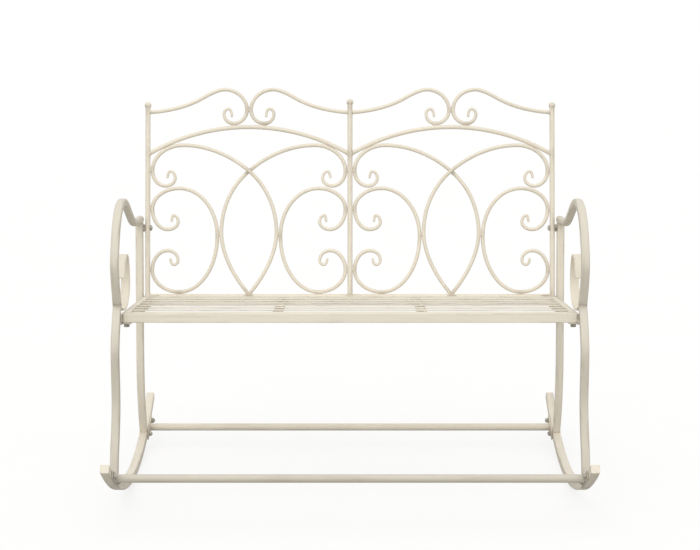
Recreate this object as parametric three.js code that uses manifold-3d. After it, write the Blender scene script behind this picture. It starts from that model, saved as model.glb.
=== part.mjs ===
// A two-seat rocking bench of painted iron: two side frames on curved rockers, a slatted seat,
// a scrollwork back of two panels, and two foot bars. Millimetres, +Z up, the front towards -Y.
// The bench is drawn with its seat level, and then leans back on its rockers as it rests.

import * as THREE from "three";
import { mergeVertices } from "three/addons/utils/BufferGeometryUtils.js";
import Module from "manifold-3d";

const wasm = await Module();
wasm.setup();

// Clearances
const SEAM = 0.3; // between two pieces that touch
const OVERRUN = 12; // how far a cutting shape passes the face that it cuts

// Seat
const SEAT_HEIGHT = 434; // the top, over the lowest point of the rockers' arc
const SEAT_DEPTH = 440;
const RAIL_WIDTH = 13;
const RAIL_HEIGHT = 22;
const SLAT_COUNT = 7;
const SLAT_WIDTH = 28;
const SLAT_THICKNESS = 1.5;
const SUPPORT_SPREAD = 340; // between the middles of the two strips under the slats
const SUPPORT_WIDTH = 24;
const SUPPORT_THICKNESS = 4;

// Rockers
const FRAME_SPREAD = 1080; // between the middle planes of the two side frames
const ROCKER_TUBE = 20;
const ROCKER_RADIUS = 1000; // to the underside
const ROCKER_FRONT_ANGLE = 26.6; // degrees round the arc, from straight below its centre
const ROCKER_REAR_ANGLE = 30;
const ROCKER_AHEAD = 22; // the arc's centre lies this far ahead of the seat's middle
const REST_FLAT = 24; // each rocker stands on one flat of this length
const REST_LEAN = 6; // degrees that the bench leans back by when it stands at rest

// Legs and arms, of square tube
const TUBE = 19;
const TUBE_CORNER = 3.5;
const ARM_OVERHANG = 40; // how far the arms reach out ahead of the seat
const ARM_ABOVE_SEAT = 253; // the middle of the arm where it is highest
const KINK_ABOVE_SEAT = 18; // where the arm stands on the front leg
const ARM_TAIL = 22; // from the rear leg's middle back to the arm's rounded end
const ARM_END_DOME = 9;
const STRIP_WIDTH = 21.5; // the flat strip of the scroll inside each arm
const STRIP_THICKNESS = 4.5;

// Foot bars
const FOOT_BAR_DIAMETER = 19;
const FOOT_PLATE_LENGTH = 98;
const FOOT_PLATE_THICKNESS = 3.2;
const FOOT_BOLT_SPACING = 68;
const FOOT_BOLT_DEPTH = 11; // into the rocker
const FRONT_BAR_SHARE = 0.8; // where each bar stands, as a share of the rocker's angle
const REAR_BAR_SHARE = 0.71;

// Bearers, angle bars that run from leg to leg of each side frame and carry the seat
const BEARER_THICKNESS = 3;
const BEARER_SHELF = 22; // from the legs' faces in to the shelf's edge under the side rail
const BEARER_BELOW_TOP = 0.5; // from the seat's top down to the wall's upper edge
const BEARER_TAIL = 6; // how far the wall runs past the middle of each leg
const BEARER_WELD = [6, 1.5]; // the weld's length along the wall, and its depth in the front leg
const SEAT_BOLT_INSET = 7; // from the end of the side rail
const SEAT_BOLT_DEPTH = 14; // into the side rail

// Back
const BACK_RECLINE = 5.6; // degrees from square to the seat
const POST_DIAMETER = 13;
const POST_GAP = 5.5; // between an end post and the rear leg beside it
const BACK_RAIL_DIAMETER = 13;
const BACK_RAIL_DROP = 1; // its middle, below the seat's top
const ARCH_DIAMETER = 11;
const ARCH_SPRING = 363.5; // where the arches meet the middles of the posts
const ARCH_RISE = 70.5;
const SCROLL_DIAMETER = 10;
const CREST_RISE = 85.7; // how far the crests swing up above the arches
const LATTICE_BULGE = 70.6; // the lattice bar's widest place, from the middle of its panel
const CROSSING_REACH = 60; // along which two crossing bars give way to each other
const CURL_TAPER = 80; // length over which a curl thins towards its tip
const CURL_TIP_SHARE = 0.66; // thickness of a curl's tip, as a share of its bar's
const FINIAL_DIAMETER = 17.5;
const FINIAL_ABOVE_ARCH = 55.5; // the end posts' balls, above the arches' crowns
const CENTRE_FINIAL_EXTRA = 8; // the centre post's ball stands this much higher

// Fasteners
const BOLT_SHANK = 7;
const BOLT_HEAD = 15;
const BACK_DOME_HEIGHT = 5.5;
const FOOT_DOME_HEIGHT = 9; // the foot bars' bolts have taller heads
const HEX_HEIGHT = 8; // with its washer
const SPACER_DIAMETER = 19;
const BACK_BOLT_BELOW_ARM = 21; // below the arm's middle
const BACK_BOLT_DEPTH = 13; // into the rear leg

// Facets
const ROUND_SIDES = 8;
const POST_SIDES = 12;
const HEX_SIDES = 6;
const BALL_BANDS = 8;
const DOME_STEPS = 3;
const DOME_TURN = 75; // degrees from a domed end's rim to its small flat
const STEP_TURN = 20; // the most degrees that a bar bends between two rings
const STEP_LENGTH = 40; // the most length between two rings of a bar that bends
const TURN_SAMPLES = 24;
const FLAT_TURN = 0.02; // radians, below which two headings count as one
const S_BEND_SHARE = 0.36;
const MERGE_DISTANCE = 0.001;

const radians = THREE.MathUtils.degToRad;
const degrees = THREE.MathUtils.radToDeg;

// Sizes that follow from the ones above
const HALF_FRAME = FRAME_SPREAD / 2;
const LEG_FACE = HALF_FRAME - TUBE / 2;
const SEAT_HALF_DEPTH = SEAT_DEPTH / 2;
const BEARER_FACE = LEG_FACE - SEAM;
const SEAT_HALF_WIDTH = BEARER_FACE - BEARER_THICKNESS - SEAM;
const SEAT_UNDERSIDE = SEAT_HEIGHT - RAIL_HEIGHT;
const SHELF_TOP = SEAT_UNDERSIDE - SEAM;
const SHELF_BOTTOM = SHELF_TOP - BEARER_THICKNESS;
const RAIL_INNER_FACE = SEAT_HALF_DEPTH - RAIL_WIDTH;
const SEAT_BOLT_ALONG = RAIL_INNER_FACE - SEAT_BOLT_INSET;
const SEAT_BOLT_ACROSS = SEAT_HALF_WIDTH - RAIL_WIDTH / 2;
const KINK_HEIGHT = SEAT_HEIGHT + KINK_ABOVE_SEAT;
const ARM_SPAN = ARM_ABOVE_SEAT - KINK_ABOVE_SEAT;
const FRAME_REACH = SEAT_HALF_DEPTH + ARM_OVERHANG;
const POST_RADIUS = POST_DIAMETER / 2;
const BACK_RAIL_RADIUS = BACK_RAIL_DIAMETER / 2;
const ARCH_TUBE_RADIUS = ARCH_DIAMETER / 2;
const SCROLL_RADIUS = SCROLL_DIAMETER / 2;
const SHANK_RADIUS = BOLT_SHANK / 2;
const HEAD_RADIUS = BOLT_HEAD / 2;
const HALF_POSTS = LEG_FACE - POST_GAP - POST_RADIUS;
const PANEL_HALF = HALF_POSTS / 2;
const PANEL_REACH = PANEL_HALF - POST_RADIUS - SEAM - SCROLL_RADIUS;
const POST_DROP = BACK_RAIL_RADIUS + BACK_RAIL_DROP;
const RECLINE_SINE = Math.sin(radians(BACK_RECLINE));
const RECLINE_COSINE = Math.cos(radians(BACK_RECLINE));
const BACK_AXIS = SEAT_HALF_DEPTH + SEAM + POST_RADIUS * RECLINE_COSINE + POST_DROP * RECLINE_SINE;
const RAIL_REST = BACK_RAIL_RADIUS - BACK_RAIL_DROP + SEAM + SCROLL_RADIUS; // a bar that lies on the rail
const ARCH_RADIUS = (PANEL_HALF ** 2 + ARCH_RISE ** 2) / (2 * ARCH_RISE);
const ARCH_CROWN = ARCH_SPRING + ARCH_RISE;
const CREST_CLEARANCE = ARCH_TUBE_RADIUS + SEAM + SCROLL_RADIUS;
const CREST_REST = ARCH_CROWN + CREST_CLEARANCE;
const FINIAL_HEIGHT = ARCH_CROWN + FINIAL_ABOVE_ARCH;

// Curves as nodes: the share along, the share up, and the heading in degrees
const KINK_SHARE = -0.8346;
const KINK_LEG_HEADING = 57;
const KINK_ARM_HEADING = 121;
const FRONT_FOOT_SHARE = -1.1731;
const FRONT_FOOT_HEADING = 82;
const FRONT_LEG_SHARES = [
  [-1.0885, 0.3009, 65],
  [-0.9823, 0.531, 91],
  [-1.0192, 0.7633, 90],
];
const REAR_FOOT_SHARE = 1.2407;
const REAR_FOOT_HEADING = 118;
const REAR_LEG_SHARES = [
  [1.0707, 0.3319, 112],
  [0.981, 0.6637, 90],
];
const REAR_LEG_TOP_SHARES = [[1.005, 0.7362, 88.5]];
const ARM_REAR_SHARE = 0.7532;
const ARM_SHARES = [
  [-1, 0.4085, 90],
  [-0.8635, 0.7489, 56],
  [-0.4038, 1, 0],
  [0.5519, 0.7447, 0],
];
const STRIP_SHARES = [
  [-0.8308, -0.0255, -18],
  [-0.5923, -0.0596, 0],
  [-0.25, 0.2043, 90],
  [-0.4038, 0.4681, 180],
  [-0.6404, 0.2596, 250],
];
const LATTICE_TOP_SHARES = [
  [0.8442, 0.8391, 95],
  [0.8175, 0.8812, 180],
  [0.7638, 0.8336, 270],
  [0.8628, 0.778, 0],
  [1, 0.8858, 90],
  [0.683, 1.0652, 180],
  [0, 0.8839, 220.3],
];
const BULGE_SHARE = 0.4512;
const LATTICE_END_HEADING = 309;
const C_SCROLL_HEIGHT_SHARE = 0.7607; // of the height at which the arches spring
const C_SCROLL_TOP_SHARES = [
  [0.8002, 0.6852, 95],
  [0.784, 0.7405, 180],
  [0.7327, 0.6773, 270],
  [0.8414, 0.6032, 0],
  [1, 0.8026, 90],
  [0.7214, 1, 180],
];
const C_SCROLL_MIDDLE_SHARE = 0.539;
const C_SCROLL_FOOT_SHARES = [
  [0.7193, 0, 0],
  [1, 0.2134, 90],
  [0.8418, 0.3997, 180],
  [0.7335, 0.3079, 270],
  [0.7759, 0.2623, 0],
  [0.8123, 0.3158, 85],
];
const CREST_CURL_SHARES = [
  [0.1786, 0.2007, 92],
  [0.213, 0.4166, 0],
  [0.2586, 0.2672, 270],
];
const CREST_FOOT_SHARE = 0.1616; // where the curl rests on the arch
const CREST_SHOULDER_SHARE = 0.3874;
const CREST_SWEEP_SHARES = [
  [0.2542, 1, 0],
  [0.4769, 0.749, -30],
];
const CREST_END_SHARE = 0.3116;
const CREST_END_HEADING = -3;
const DOME_SHARES = [
  [1, 0],
  [1, 0.25],
  [0.85, 0.6],
  [0.5, 0.9],
  [0, 1],
];

const ARM_REAR_HEIGHT = KINK_HEIGHT + ARM_REAR_SHARE * ARM_SPAN;
const BACK_BOLT_HEIGHT = (ARM_REAR_HEIGHT - BACK_BOLT_BELOW_ARM - SEAT_HEIGHT) / RECLINE_COSINE;
const REAR_REACH = BACK_AXIS + BACK_BOLT_HEIGHT * RECLINE_SINE; // the rear leg follows the back bolts

// Paint
function paint(color, roughness) {
  return new THREE.MeshStandardMaterial({ color, roughness, metalness: 0.1 });
}

const framePaint = paint(0xe4dccb, 0.5);
const fastenerPaint = paint(0xcfc6b4, 0.45);

function addPiece(group, name, geometry, material) {
  const mesh = new THREE.Mesh(geometry, material);
  mesh.name = name;
  group.add(mesh);
  return mesh;
}

// Adds a piece on the right, towards +X, and its mirror image on the left.
function addPair(group, name, geometry, material) {
  addPiece(group, `${name}_right`, geometry, material);
  addPiece(group, `${name}_left`, geometry, material).scale.x = -1;
}

// Joining and cutting
function solidOf(geometry) {
  const bare = new THREE.BufferGeometry();
  bare.setAttribute("position", geometry.attributes.position);
  bare.setIndex(geometry.index);
  const merged = mergeVertices(bare, MERGE_DISTANCE);
  const vertProperties = merged.attributes.position.array;
  const triVerts = new Uint32Array(merged.index.array);
  return new wasm.Manifold(new wasm.Mesh({ numProp: 3, vertProperties, triVerts }));
}

function geometryOf(solid) {
  const { vertProperties, triVerts } = solid.getMesh();
  const geometry = new THREE.BufferGeometry();
  geometry.setAttribute("position", new THREE.BufferAttribute(vertProperties, 3));
  geometry.setIndex(new THREE.BufferAttribute(triVerts, 1));
  geometry.computeVertexNormals();
  return geometry;
}

function cut(geometry, ...cutters) {
  return geometryOf(cutters.reduce((left, cutter) => left.subtract(solidOf(cutter)), solidOf(geometry)));
}

function joined(...geometries) {
  return geometryOf(geometries.map(solidOf).reduce((sum, solid) => sum.add(solid)));
}

// A box from one corner to the other.
function block(low, high) {
  const size = high.map((value, axis) => value - low[axis]);
  const middle = high.map((value, axis) => (value + low[axis]) / 2);
  return new THREE.BoxGeometry(...size).translate(...middle);
}

// A straight round bar from one point to another.
function rod(radius, from, to, sides) {
  const start = new THREE.Vector3(...from);
  const end = new THREE.Vector3(...to);
  const axis = end.clone().sub(start);
  const turn = new THREE.Quaternion().setFromUnitVectors(THREE.Object3D.DEFAULT_UP, axis.clone().normalize());
  return new THREE.CylinderGeometry(radius, radius, axis.length(), sides)
    .applyQuaternion(turn)
    .translate(...start.add(end).divideScalar(2));
}

// The shape that cuts away a round bar and the seam round it. Its flats clear the bar.
function rodCutter(radius, from, to) {
  return rod((radius + SEAM) / Math.cos(Math.PI / POST_SIDES), from, to, POST_SIDES);
}

function hole(from, to) {
  return rod(SHANK_RADIUS + SEAM, from, to, ROUND_SIDES);
}

// Sections of bars
function section(corners) {
  return new THREE.Shape(corners.map((corner) => new THREE.Vector2(...corner)));
}

function roundSection(radius) {
  const angles = Array.from({ length: ROUND_SIDES }, (_, side) => (side / ROUND_SIDES) * 2 * Math.PI);
  return section(angles.map((angle) => [radius * Math.cos(angle), radius * Math.sin(angle)]));
}

function flatSection(width, thickness) {
  const x = width / 2;
  const y = thickness / 2;
  return section([[-x, -y], [x, -y], [x, y], [-x, y]]);
}

// A square tube with its corners cut off.
function tubeSection(width) {
  const far = width / 2;
  const near = far - TUBE_CORNER;
  const side = [[-near, -far], [near, -far], [far, -near], [far, near]];
  return section([...side, ...side.map(([x, y]) => [-x, -y])]);
}

function pointing(heading) {
  return new THREE.Vector2(Math.cos(radians(heading)), Math.sin(radians(heading)));
}

// Nodes from a table of shares, in a field with a reach, a lowest height and a span above it.
function nodesIn(reach, low, span, shares) {
  return shares.map(([along, up, heading]) => [along * reach, low + up * span, heading]);
}

// One bend between two nodes: a part of an ellipse where the headings meet ahead, or else a soft S.
function bend([x0, y0, heading0], [x1, y1, heading1]) {
  const start = new THREE.Vector2(x0, y0);
  const end = new THREE.Vector2(x1, y1);
  const out = pointing(heading0);
  const into = pointing(heading1);
  const chord = end.clone().sub(start);
  const turn = Math.acos(THREE.MathUtils.clamp(out.dot(into), -1, 1));
  let reachOut = chord.length() * S_BEND_SHARE;
  let reachIn = reachOut;
  if (turn > FLAT_TURN) {
    const roundness = ((4 / 3) * Math.tan(turn / 4)) / Math.tan(turn / 2);
    const ahead = chord.cross(into) / out.cross(into);
    const behind = out.cross(chord) / out.cross(into);
    if (ahead > 0 && behind > 0) {
      reachOut = ahead * roundness;
      reachIn = behind * roundness;
    }
  }
  const first = start.clone().addScaledVector(out, reachOut);
  const second = end.clone().addScaledVector(into, -reachIn);
  return new THREE.CubicBezierCurve(start, first, second, end);
}

// How far a curve turns in all, in degrees.
function turning(curve) {
  const samples = Array.from({ length: TURN_SAMPLES + 1 }, (_, i) => curve.getTangent(i / TURN_SAMPLES));
  const turns = samples.slice(1).map((tangent, i) => Math.acos(Math.min(1, tangent.dot(samples[i]))));
  return degrees(turns.reduce((sum, turn) => sum + turn, 0));
}

// The rings along a bar whose middle line passes through the nodes. Each has its middle, the
// direction across the bar in the bar's plane, its share of the full section, and its lift out
// of that plane.
function ringsAlong(nodes) {
  const rings = [];
  nodes.slice(1).forEach((node, i) => {
    const curve = bend(nodes[i], node);
    const bends = turning(curve) / STEP_TURN;
    const lengths = bends > FLAT_TURN ? curve.getLength() / STEP_LENGTH : 0;
    const steps = Math.max(1, Math.ceil(Math.max(bends, lengths)));
    for (let step = i === 0 ? 0 : 1; step <= steps; step += 1) {
      const middle = curve.getPoint(step / steps);
      const tangent = curve.getTangent(step / steps);
      rings.push({ middle, across: new THREE.Vector2(-tangent.y, tangent.x), share: 1, lift: 0 });
    }
  });
  return rings;
}

// Thins a bar towards the first of its rings, where its curl ends.
function taper(rings) {
  let run = 0;
  rings.forEach((ring, i) => {
    if (i > 0) run += ring.middle.distanceTo(rings[i - 1].middle);
    ring.share *= Math.min(1, CURL_TIP_SHARE + (1 - CURL_TIP_SHARE) * (run / CURL_TAPER));
  });
}

// A bar: a section carried along the rings, in the plane (x, y), with z across it.
function bar(shape, rings) {
  const steps = rings.length - 1;
  const geometry = new THREE.ExtrudeGeometry(shape, { steps, depth: 1, bevelEnabled: false });
  const position = geometry.attributes.position;
  for (let i = 0; i < position.count; i += 1) {
    const { middle, across, share, lift } = rings[Math.round(position.getZ(i) * steps)];
    const inPlane = position.getY(i) * share;
    const sideways = position.getX(i) * share;
    position.setXYZ(i, middle.x + across.x * inPlane, middle.y + across.y * inPlane, lift - sideways);
  }
  return geometry;
}

// A bar in the right side frame: x becomes Y, and y becomes Z.
function sideBar(shape, rings) {
  return bar(shape, rings).rotateY(Math.PI / 2).rotateX(Math.PI / 2).translate(HALF_FRAME, 0, 0);
}

// A bar in the back: x stays, and y becomes the height up the back.
function backBar(shape, rings) {
  return bar(shape, rings).rotateX(Math.PI / 2);
}

// How far along a bar's middle is at a height.
function middleAt(rings, height) {
  const i = rings.findIndex(({ middle }) => middle.y >= height);
  const above = rings[i].middle;
  const below = rings[i - 1].middle;
  return below.x + ((above.x - below.x) * (height - below.y)) / (above.y - below.y);
}

// A bolt with its head above the XY plane and its shank below, for placing.
function domedBolt(depth, height) {
  const dome = DOME_SHARES.map(([out, up]) => [out * HEAD_RADIUS, up * height]);
  const profile = [[0, -depth], [SHANK_RADIUS, -depth], [SHANK_RADIUS, 0], ...dome];
  const points = profile.map((point) => new THREE.Vector2(...point));
  return new THREE.LatheGeometry(points, ROUND_SIDES).rotateX(Math.PI / 2);
}

function hexBolt(depth) {
  const head = rod(HEAD_RADIUS, [0, 0, 0], [0, 0, HEX_HEIGHT], HEX_SIDES);
  return joined(head, rod(SHANK_RADIUS, [0, 0, -depth], [0, 0, HEX_HEIGHT / 2], ROUND_SIDES));
}

// Rockers
const ROCKER_FACE = HALF_FRAME - ROCKER_TUBE / 2;
const ROCKER_MIDDLE_RADIUS = ROCKER_RADIUS - ROCKER_TUBE / 2;
const FRONT_BAR_ANGLE = -radians(ROCKER_FRONT_ANGLE * FRONT_BAR_SHARE);
const REAR_BAR_ANGLE = radians(ROCKER_REAR_ANGLE * REAR_BAR_SHARE);
const PLATE_FACE = ROCKER_FACE - SEAM - FOOT_PLATE_THICKNESS;

// A point of the rocker, at an angle round its arc.
function rockerPoint(angle, radius) {
  return [radius * Math.sin(angle) - ROCKER_AHEAD, ROCKER_RADIUS - radius * Math.cos(angle)];
}

function rockerAngle(along) {
  return Math.asin((along + ROCKER_AHEAD) / ROCKER_MIDDLE_RADIUS);
}

// The rings of a rocker, straight in between. The middle of one flat is where the bench rests.
function rockerRings() {
  const step = 2 * Math.atan(REST_FLAT / 2 / ROCKER_RADIUS);
  const rest = radians(REST_LEAN);
  const from = -radians(ROCKER_FRONT_ANGLE);
  const to = radians(ROCKER_REAR_ANGLE);
  const corners = [];
  for (let i = Math.ceil((from - rest) / step); rest + (i + 0.5) * step < to; i += 1) {
    corners.push(rest + (i + 0.5) * step);
  }
  return [from, ...corners, to].map((angle) => {
    const flats = (angle - rest) / step;
    const stretch = 1 / Math.cos((flats - Math.round(flats)) * step);
    const middle = new THREE.Vector2(...rockerPoint(angle, ROCKER_MIDDLE_RADIUS * stretch));
    const across = new THREE.Vector2(-Math.sin(angle), Math.cos(angle)).multiplyScalar(stretch);
    return { middle, across, share: 1, lift: 0 };
  });
}

function rockerCutter() {
  const width = ROCKER_TUBE + 2 * SEAM;
  return sideBar(flatSection(width, width), rockerRings());
}

// Moves a shape from the origin to the rocker's middle line, turned along the arc.
function alongRocker(geometry, angle) {
  return geometry.rotateX(angle).translate(0, ...rockerPoint(angle, ROCKER_MIDDLE_RADIUS));
}

// The holes for a foot bar's bolts, through its end plates and into the rockers.
function footBoltHoles(barAngle) {
  const end = ROCKER_FACE + FOOT_BOLT_DEPTH + SEAM;
  const places = [-FOOT_BOLT_SPACING / 2, FOOT_BOLT_SPACING / 2];
  return places.map((along) => alongRocker(hole([-end, along, 0], [end, along, 0]), barAngle));
}

function rocker() {
  const tube = sideBar(flatSection(ROCKER_TUBE, ROCKER_TUBE), rockerRings());
  return cut(tube, ...footBoltHoles(FRONT_BAR_ANGLE), ...footBoltHoles(REAR_BAR_ANGLE));
}

// A foot bar, with the plate that is welded to each of its ends.
function footBar(barAngle) {
  const middle = PLATE_FACE + FOOT_PLATE_THICKNESS / 2;
  const far = PLATE_FACE + FOOT_PLATE_THICKNESS;
  const y = FOOT_PLATE_LENGTH / 2;
  const z = ROCKER_TUBE / 2;
  const round = rod(FOOT_BAR_DIAMETER / 2, [-middle, 0, 0], [middle, 0, 0], POST_SIDES);
  const rightPlate = block([PLATE_FACE, -y, -z], [far, y, z]);
  const leftPlate = block([-far, -y, -z], [-PLATE_FACE, y, z]);
  return cut(alongRocker(joined(round, rightPlate, leftPlate), barAngle), ...footBoltHoles(barAngle));
}

function footBolt(along, barAngle) {
  const bolt = domedBolt(SEAM + FOOT_PLATE_THICKNESS + SEAM + FOOT_BOLT_DEPTH, FOOT_DOME_HEIGHT);
  return alongRocker(bolt.rotateY(-Math.PI / 2).translate(PLATE_FACE - SEAM, along, 0), barAngle);
}

// Legs

function seatBoltHole(side) {
  const y = side * SEAT_BOLT_ALONG;
  const top = SEAT_UNDERSIDE + SEAT_BOLT_DEPTH + SEAM;
  return hole([SEAT_BOLT_ACROSS, y, SHELF_BOTTOM - OVERRUN], [SEAT_BOLT_ACROSS, y, top]);
}

function seatBolt(side) {
  const bolt = hexBolt(SEAM + BEARER_THICKNESS + SEAM + SEAT_BOLT_DEPTH);
  return bolt.rotateX(Math.PI).translate(SEAT_BOLT_ACROSS, side * SEAT_BOLT_ALONG, SHELF_BOTTOM - SEAM);
}

// Turns the ring at the kink into the plane of the mitre, midway between the two headings.
function mitre(ring) {
  const square = pointing((KINK_LEG_HEADING + KINK_ARM_HEADING) / 2);
  const plane = new THREE.Vector2(-square.y, square.x);
  ring.across = plane.divideScalar(plane.dot(ring.across));
}

function frontLegRings() {
  const foot = rockerPoint(rockerAngle(FRONT_FOOT_SHARE * FRAME_REACH), ROCKER_MIDDLE_RADIUS);
  const shaft = nodesIn(FRAME_REACH, 0, KINK_HEIGHT, FRONT_LEG_SHARES);
  const kink = [KINK_SHARE * FRAME_REACH, KINK_HEIGHT - SEAM / 2, KINK_LEG_HEADING];
  const rings = ringsAlong([[...foot, FRONT_FOOT_HEADING], ...shaft, kink]);
  mitre(rings[rings.length - 1]);
  return rings;
}

function frontLeg() {
  const leg = joined(sideBar(tubeSection(TUBE), frontLegRings()), seatBearer());
  return cut(leg, rockerCutter(), seatBoltHole(-1), seatBoltHole(1));
}

function rearLegRings() {
  const foot = rockerPoint(rockerAngle(REAR_FOOT_SHARE * REAR_REACH), ROCKER_MIDDLE_RADIUS);
  const shaft = nodesIn(REAR_REACH, 0, KINK_HEIGHT, REAR_LEG_SHARES);
  const top = nodesIn(REAR_REACH, KINK_HEIGHT, ARM_SPAN, REAR_LEG_TOP_SHARES);
  return ringsAlong([[...foot, REAR_FOOT_HEADING], ...shaft, ...top]);
}

function rearLeg() {
  return cut(sideBar(tubeSection(TUBE), rearLegRings()), rockerCutter(), backBoltHole(), armCutter());
}

// The bearer's wall runs from leg to leg beside the side rail, and its shelf lies under the rail.
function seatBearer() {
  const top = SEAT_HEIGHT - BEARER_BELOW_TOP;
  const front = middleAt(frontLegRings(), top) - BEARER_TAIL;
  const rear = middleAt(rearLegRings(), top) + BEARER_TAIL;
  const [weldLength, weldDepth] = BEARER_WELD;
  const inner = BEARER_FACE - BEARER_THICKNESS;
  const wall = block([inner, front, SHELF_BOTTOM], [BEARER_FACE, rear, top]);
  const weld = block([inner, front, SHELF_BOTTOM], [LEG_FACE + weldDepth, front + weldLength, top]);
  const shelfEdge = LEG_FACE - BEARER_SHELF;
  const shelf = block([shelfEdge, -SEAT_HALF_DEPTH, SHELF_BOTTOM], [BEARER_FACE, SEAT_HALF_DEPTH, SHELF_TOP]);
  return joined(wall, weld, shelf);
}

// Arms
function armRings() {
  const kink = [KINK_SHARE * FRAME_REACH, KINK_HEIGHT + SEAM / 2, KINK_ARM_HEADING];
  const sweep = nodesIn(FRAME_REACH, KINK_HEIGHT, ARM_SPAN, ARM_SHARES);
  const rings = ringsAlong([kink, ...sweep, [REAR_REACH + ARM_TAIL, ARM_REAR_HEIGHT, 0]]);
  mitre(rings[0]);
  const last = rings[rings.length - 1];
  for (let step = 1; step <= DOME_STEPS; step += 1) {
    const angle = radians((step / DOME_STEPS) * DOME_TURN);
    const middle = last.middle.clone().add(new THREE.Vector2(ARM_END_DOME * Math.sin(angle), 0));
    rings.push({ ...last, middle, share: Math.cos(angle) });
  }
  return rings;
}

function armrest() {
  return sideBar(tubeSection(TUBE), armRings());
}

function armCutter() {
  return sideBar(tubeSection(TUBE + 2 * SEAM), armRings());
}

// The flat scroll inside the arm, from the kink round to its free tip, flush with the arm outside.
function armScroll() {
  const rings = ringsAlong(nodesIn(FRAME_REACH, KINK_HEIGHT, ARM_SPAN, STRIP_SHARES));
  const strip = sideBar(flatSection(STRIP_WIDTH, STRIP_THICKNESS), rings).translate((TUBE - STRIP_WIDTH) / 2, 0, 0);
  return cut(strip, armCutter(), sideBar(tubeSection(TUBE + 2 * SEAM), frontLegRings()));
}

// Seat
function crossRail(side) {
  const ends = [side * SEAT_HALF_DEPTH, side * RAIL_INNER_FACE];
  const low = [-SEAT_HALF_WIDTH, Math.min(...ends), SEAT_UNDERSIDE];
  return block(low, [SEAT_HALF_WIDTH, Math.max(...ends), SEAT_HEIGHT]);
}

function sideRail() {
  const y = RAIL_INNER_FACE - SEAM;
  const rail = block([SEAT_HALF_WIDTH - RAIL_WIDTH, -y, SEAT_UNDERSIDE], [SEAT_HALF_WIDTH, y, SEAT_HEIGHT]);
  return cut(rail, seatBoltHole(-1), seatBoltHole(1));
}

// The first slat lies against the front rail, and a gap follows each slat.
function slat(index) {
  const pitch = (2 * RAIL_INNER_FACE - SEAM) / SLAT_COUNT;
  const front = SEAM - RAIL_INNER_FACE + index * pitch;
  const x = SEAT_HALF_WIDTH - RAIL_WIDTH - SEAM;
  return block([-x, front, SEAT_HEIGHT - SLAT_THICKNESS], [x, front + SLAT_WIDTH, SEAT_HEIGHT]);
}

function slatSupport() {
  const top = SEAT_HEIGHT - SLAT_THICKNESS - SEAM;
  const x = (SUPPORT_SPREAD - SUPPORT_WIDTH) / 2;
  const y = RAIL_INNER_FACE - SEAM;
  return block([x, -y, top - SUPPORT_THICKNESS], [x + SUPPORT_WIDTH, y, top]);
}

// Back, drawn upright with its heights measured from the seat's top
function backBoltHole() {
  const [y, z] = [REAR_REACH, SEAT_HEIGHT + BACK_BOLT_HEIGHT * RECLINE_COSINE];
  return hole([LEG_FACE - OVERRUN, y, z], [LEG_FACE + BACK_BOLT_DEPTH + SEAM, y, z]);
}

function post(x, bottom, ballHeight) {
  const shaft = rod(POST_RADIUS, [x, 0, bottom], [x, 0, ballHeight], POST_SIDES);
  const ball = new THREE.SphereGeometry(FINIAL_DIAMETER / 2, POST_SIDES, BALL_BANDS)
    .rotateX(Math.PI / 2)
    .translate(x, 0, ballHeight);
  return joined(shaft, ball);
}

function postCutter(x) {
  return rodCutter(POST_RADIUS, [x, 0, -POST_DROP - OVERRUN], [x, 0, FINIAL_HEIGHT]);
}

function endPost() {
  const opening = hole([HALF_POSTS - OVERRUN, 0, BACK_BOLT_HEIGHT], [HALF_POSTS + OVERRUN, 0, BACK_BOLT_HEIGHT]);
  return cut(post(HALF_POSTS, -POST_DROP, FINIAL_HEIGHT), opening);
}

function backRailCutter() {
  return rodCutter(BACK_RAIL_RADIUS, [-HALF_POSTS, 0, -BACK_RAIL_DROP], [HALF_POSTS, 0, -BACK_RAIL_DROP]);
}

function centrePost() {
  return cut(post(0, -BACK_RAIL_DROP, FINIAL_HEIGHT + CENTRE_FINIAL_EXTRA), backRailCutter());
}

function backRail() {
  const ends = [[-HALF_POSTS, 0, -BACK_RAIL_DROP], [HALF_POSTS, 0, -BACK_RAIL_DROP]];
  return cut(rod(BACK_RAIL_RADIUS, ...ends, POST_SIDES), postCutter(-HALF_POSTS), postCutter(HALF_POSTS));
}

// The pieces of a panel, measured from its middle line towards one of its posts.
function arch() {
  const heading = degrees(Math.asin(PANEL_HALF / ARCH_RADIUS));
  const left = [-PANEL_HALF, ARCH_SPRING, heading];
  const right = [PANEL_HALF, ARCH_SPRING, -heading];
  const tube = backBar(roundSection(ARCH_TUBE_RADIUS), ringsAlong([left, [0, ARCH_CROWN, 0], right]));
  return cut(tube, postCutter(-PANEL_HALF), postCutter(PANEL_HALF));
}

// The scroll on top of an arch: a curl by the middle that rests on the arch, and a sweep down
// to the post.
function crestScroll() {
  const across = CREST_FOOT_SHARE * PANEL_REACH;
  const archHeight = ARCH_CROWN - ARCH_RADIUS + Math.sqrt(ARCH_RADIUS ** 2 - across ** 2);
  const shoulder = [SCROLL_RADIUS + SEAM / 2, CREST_REST + CREST_SHOULDER_SHARE * CREST_RISE, 90];
  const rings = ringsAlong([
    ...nodesIn(PANEL_REACH, CREST_REST, CREST_RISE, CREST_CURL_SHARES),
    [across, archHeight + CREST_CLEARANCE, 180],
    shoulder,
    ...nodesIn(PANEL_REACH, CREST_REST, CREST_RISE, CREST_SWEEP_SHARES),
    [PANEL_HALF, CREST_REST + CREST_END_SHARE * CREST_RISE, CREST_END_HEADING],
  ]);
  taper(rings);
  return cut(backBar(roundSection(SCROLL_RADIUS), rings), postCutter(PANEL_HALF));
}

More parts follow.
